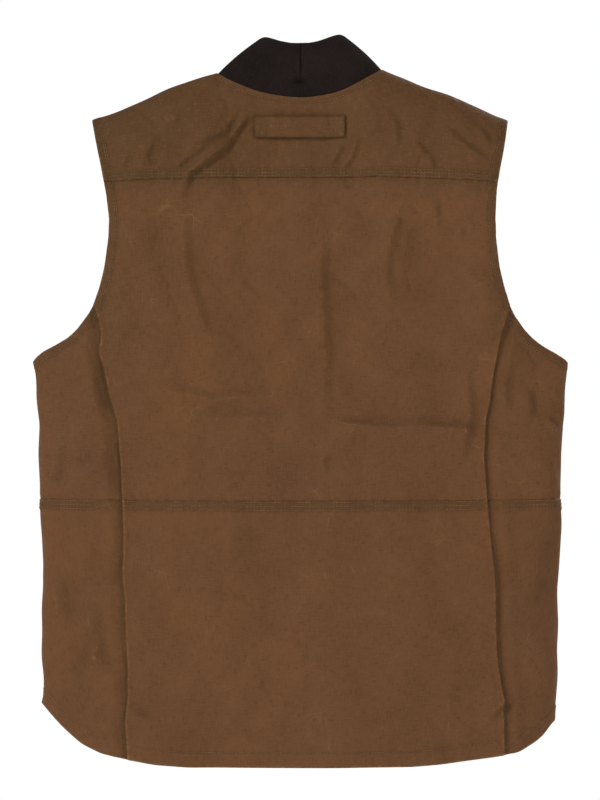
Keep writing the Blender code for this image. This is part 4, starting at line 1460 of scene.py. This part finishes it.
def makeBackStitches():
    rows = []
    end = 0.1985
    for up in (0.0018, 0.0053, 0.0088):
        rows.append(backRow(lambda x: yokeZ(x) + up, -end, end, 0.0010))
    for down in (0.0018, 0.0060, 0.0100):
        z = pattern["waistSeam"]
        rows.append(backRow(lambda x: waistZ(x) - down, -backEdgeX(z, -1) + 0.001, backEdgeX(z, 1) - 0.001, 0.0010))
    rows.append(backRow(lambda x: neckBackZ(x) - 0.0062, -0.084, 0.084, 0.0002))
    rows.append(backRow(lambda x: hemZ(x) + 0.0158, -0.176, 0.209, 0.0005))
    piece = addStitches("stitchesBack", rows)
    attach(piece, "vest_back")


def makeSideStitches():
    for label, side in sides.items():
        rows = []
        for heightOf, extra in (
            (lambda x: waistZ(x) - 0.0018, 0.0010), (lambda x: waistZ(x) - 0.0060, 0.0010),
            (lambda x: waistZ(x) - 0.0100, 0.0010), (lambda x: hemZ(x, side) + 0.0158, 0.0003),
        ):
            ts = np.linspace(0.09, 0.90, 120)
            xAt = lambda z: onSide(sideColumns(ts, z, side), z, 1)[..., 0]
            z = settled(xAt, heightOf, ts)
            base = onSide(sideColumns(ts, z, side), z, side)
            extras = sideExtra(base, side)
            rows.append(onShell(base, extra + extras))
        for away in (0.0072, 0.0094):
            for front in (False, True):
                x, z = alongArmhole(away, 0.985)
                base = onFace(side * x, z, front)
                keep = np.abs(x - (0.2155 if not front else 0.246)) > 0.0012
                rows.append(onShell(base[keep], 0.0006))
        piece = addStitches(f"stitchesArmhole_{label}", rows)
        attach(piece, "vest_back")


def makeStrapStitches():
    lo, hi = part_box("nape_strap")
    low, high = lo.z + hang + 0.0022, hi.z + hang - 0.0022
    rows = []

    def line(x0, z0, x1, z1):
        t = np.linspace(0, 1, 60)
        points, base = strapPoints(x0 + (x1 - x0) * t, z0 + (z1 - z0) * t, 0.0002)
        rows.append((points, outward(base)))

    for side in (-1, 1):
        near, far = side * (hi.x - 0.0125), side * (hi.x - 0.0020)
        line(near, low, near, high)
        line(far, low, far, high)
        line(near, low, far, low)
        line(near, high, far, high)
        line(near, low, far, high)
        line(near, high, far, low)
    middle = (low + high) / 2 + 0.001
    line(-hi.x + 0.0125, middle, hi.x - 0.0125, middle)
    piece = addStitches("stitchesStrap", rows)
    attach(piece, "vest_back")


def makeFrontStitches():
    for label, side in sides.items():
        rows = []
        x = np.linspace(0.009, 0.244, 160)
        rows.append(onShell(onFace(side * x, hemZ(x, side) + 0.0158, True), 0.0003))
        for away in (0.0020, 0.0082):
            z = np.linspace(0.004, float(neckFrontZ(np.array(0.008))) - 0.002, 320)
            rows.append(onShell(onFace(np.full_like(z, side * (pattern["zipEdge"] + away)), z, True), 0.0003))
        x = np.linspace(0.0085, 0.080, 70)
        rows.append(onShell(onFace(side * x, neckFrontZ(x) - 0.0062, True), 0.0003))
        piece = addStitches(f"stitchesFront_{label}", rows)
        bendsWithFront(piece)
        for kind in pocketCuts:
            rows = pocketRows(kind, side)
            piece = addStitches(f"stitches{kind.title()}Pocket_{label}", rows)
            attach(piece, f"front_{label}")
            piece = addStitches(f"stitches{kind.title()}Flap_{label}", flapRows(kind, side))
            bendsWithFlap(piece)


def traced(surface, path, side, extra):
    a, b = (np.concatenate([np.linspace(p[k], q[k], 60) for p, q in zip(path, path[1:])]) for k in (0, 1))
    x, z, out = surface(a, b)
    base = onFace(side * x, z, True)
    points = dressed(base, out + extra)
    keep = np.concatenate([[True], np.linalg.norm(np.diff(points, axis=0), axis=1) > 1e-6])
    return points[keep], outward(base)[keep]


def pocketRows(kind, side):
    lo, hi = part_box(f"{kind}_pocket_right")
    wide, tall = hi.x - lo.x, hi.z - lo.z
    rows = []
    surface = lambda a, b: pocketSurface(kind, a, b)
    away = pocketCuts[kind]["gusset"] + 0.0015
    u, v = away / wide, away / tall
    rows.append(traced(surface, [(u, 0.99), (u, v), (1 - u, v), (1 - u, 0.99)], side, 0.0002))
    u = (pocketCuts[kind]["gusset"] + 0.002) / wide
    rows.append(traced(surface, [(u, 1 - 0.014 / tall), (1 - u, 1 - 0.014 / tall)], side, 0.0002))
    return rows


def flapRows(kind, side):
    lo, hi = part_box(f"{kind}_flap_right")
    wide, tall = hi.x - lo.x, hi.z - lo.z
    surface = lambda a, b: flapSurface(kind, a, b)
    rows = []
    for away in (0.0020, 0.0070):
        u = away / wide
        path = [(u, 0.010), (u, tall - away), (1 - u, tall - away), (1 - u, 0.010)]
        rows.append(traced(surface, path, side, 0.0016))
    return rows


makeBackStitches()
makeSideStitches()
makeStrapStitches()
makeFrontStitches()
print("stitching made")


# Floor, light and camera


def makeStage():
    bm = bmesh.new()
    bmesh.ops.create_circle(bm, cap_ends=True, segments=96, radius=4.7)
    bmesh.ops.translate(bm, verts=bm.verts, vec=(0, 0, cadBox[0][2] - 0.45))
    mesh = bpy.data.meshes.new("floor")
    bm.to_mesh(mesh)
    bm.free()
    mesh.materials.append(makeFloor())
    floor = bpy.data.objects.new("floor", mesh)
    collection.objects.link(floor)


studio = {
    "world": 0.375, "backdrop": 1.02,
    "lamps": [
        # name, place, size, power
        ("keyBehind", (-2.1, -2.0, 1.5), 1.3, 68.0),
        ("fillBehind", (2.1, -2.1, 0.2), 1.6, 18.0),
        ("keyFront", (2.1, 2.0, 1.5), 1.3, 68.0),
        ("fillFront", (-2.1, 2.1, 0.2), 1.6, 18.0),
    ],
}


def makeStudio():
    scene = bpy.context.scene
    scene.view_settings.view_transform = "Standard"
    world = bpy.data.worlds.new("studio")
    world.use_nodes = True
    tree = world.node_tree
    backdrop = tree.nodes["Background"]
    backdrop.inputs["Color"].default_value = (1.0, 1.0, 1.0, 1.0)
    seen = tree.nodes.new("ShaderNodeLightPath")
    strength = tree.nodes.new("ShaderNodeMapRange")
    strength.inputs["To Min"].default_value = studio["world"]
    strength.inputs["To Max"].default_value = studio["backdrop"]
    tree.links.new(seen.outputs["Is Camera Ray"], strength.inputs["Value"])
    tree.links.new(strength.outputs["Result"], backdrop.inputs["Strength"])
    scene.world = world
    aim = Vector((0, 0, -0.35))
    for name, place, size, power in studio["lamps"]:
        lamp = bpy.data.lights.new(name, "AREA")
        lamp.shape = "DISK"
        lamp.size = size
        lamp.energy = power
        obj = bpy.data.objects.new(name, lamp)
        obj.location = place
        obj.rotation_euler = (aim - Vector(place)).to_track_quat("-Z", "Y").to_euler()
        collection.objects.link(obj)


def makeCamera():
    camera = bpy.data.cameras.new("camera")
    camera.lens = 214.8
    camera.clip_end = 50
    obj = bpy.data.objects.new("camera", camera)
    obj.location = (0.0004, -5.04, 0.385 - hang)
    obj.rotation_euler = (math.pi / 2, 0, 0)
    collection.objects.link(obj)
    bpy.context.scene.camera = obj


makeStage()
makeStudio()
makeCamera()
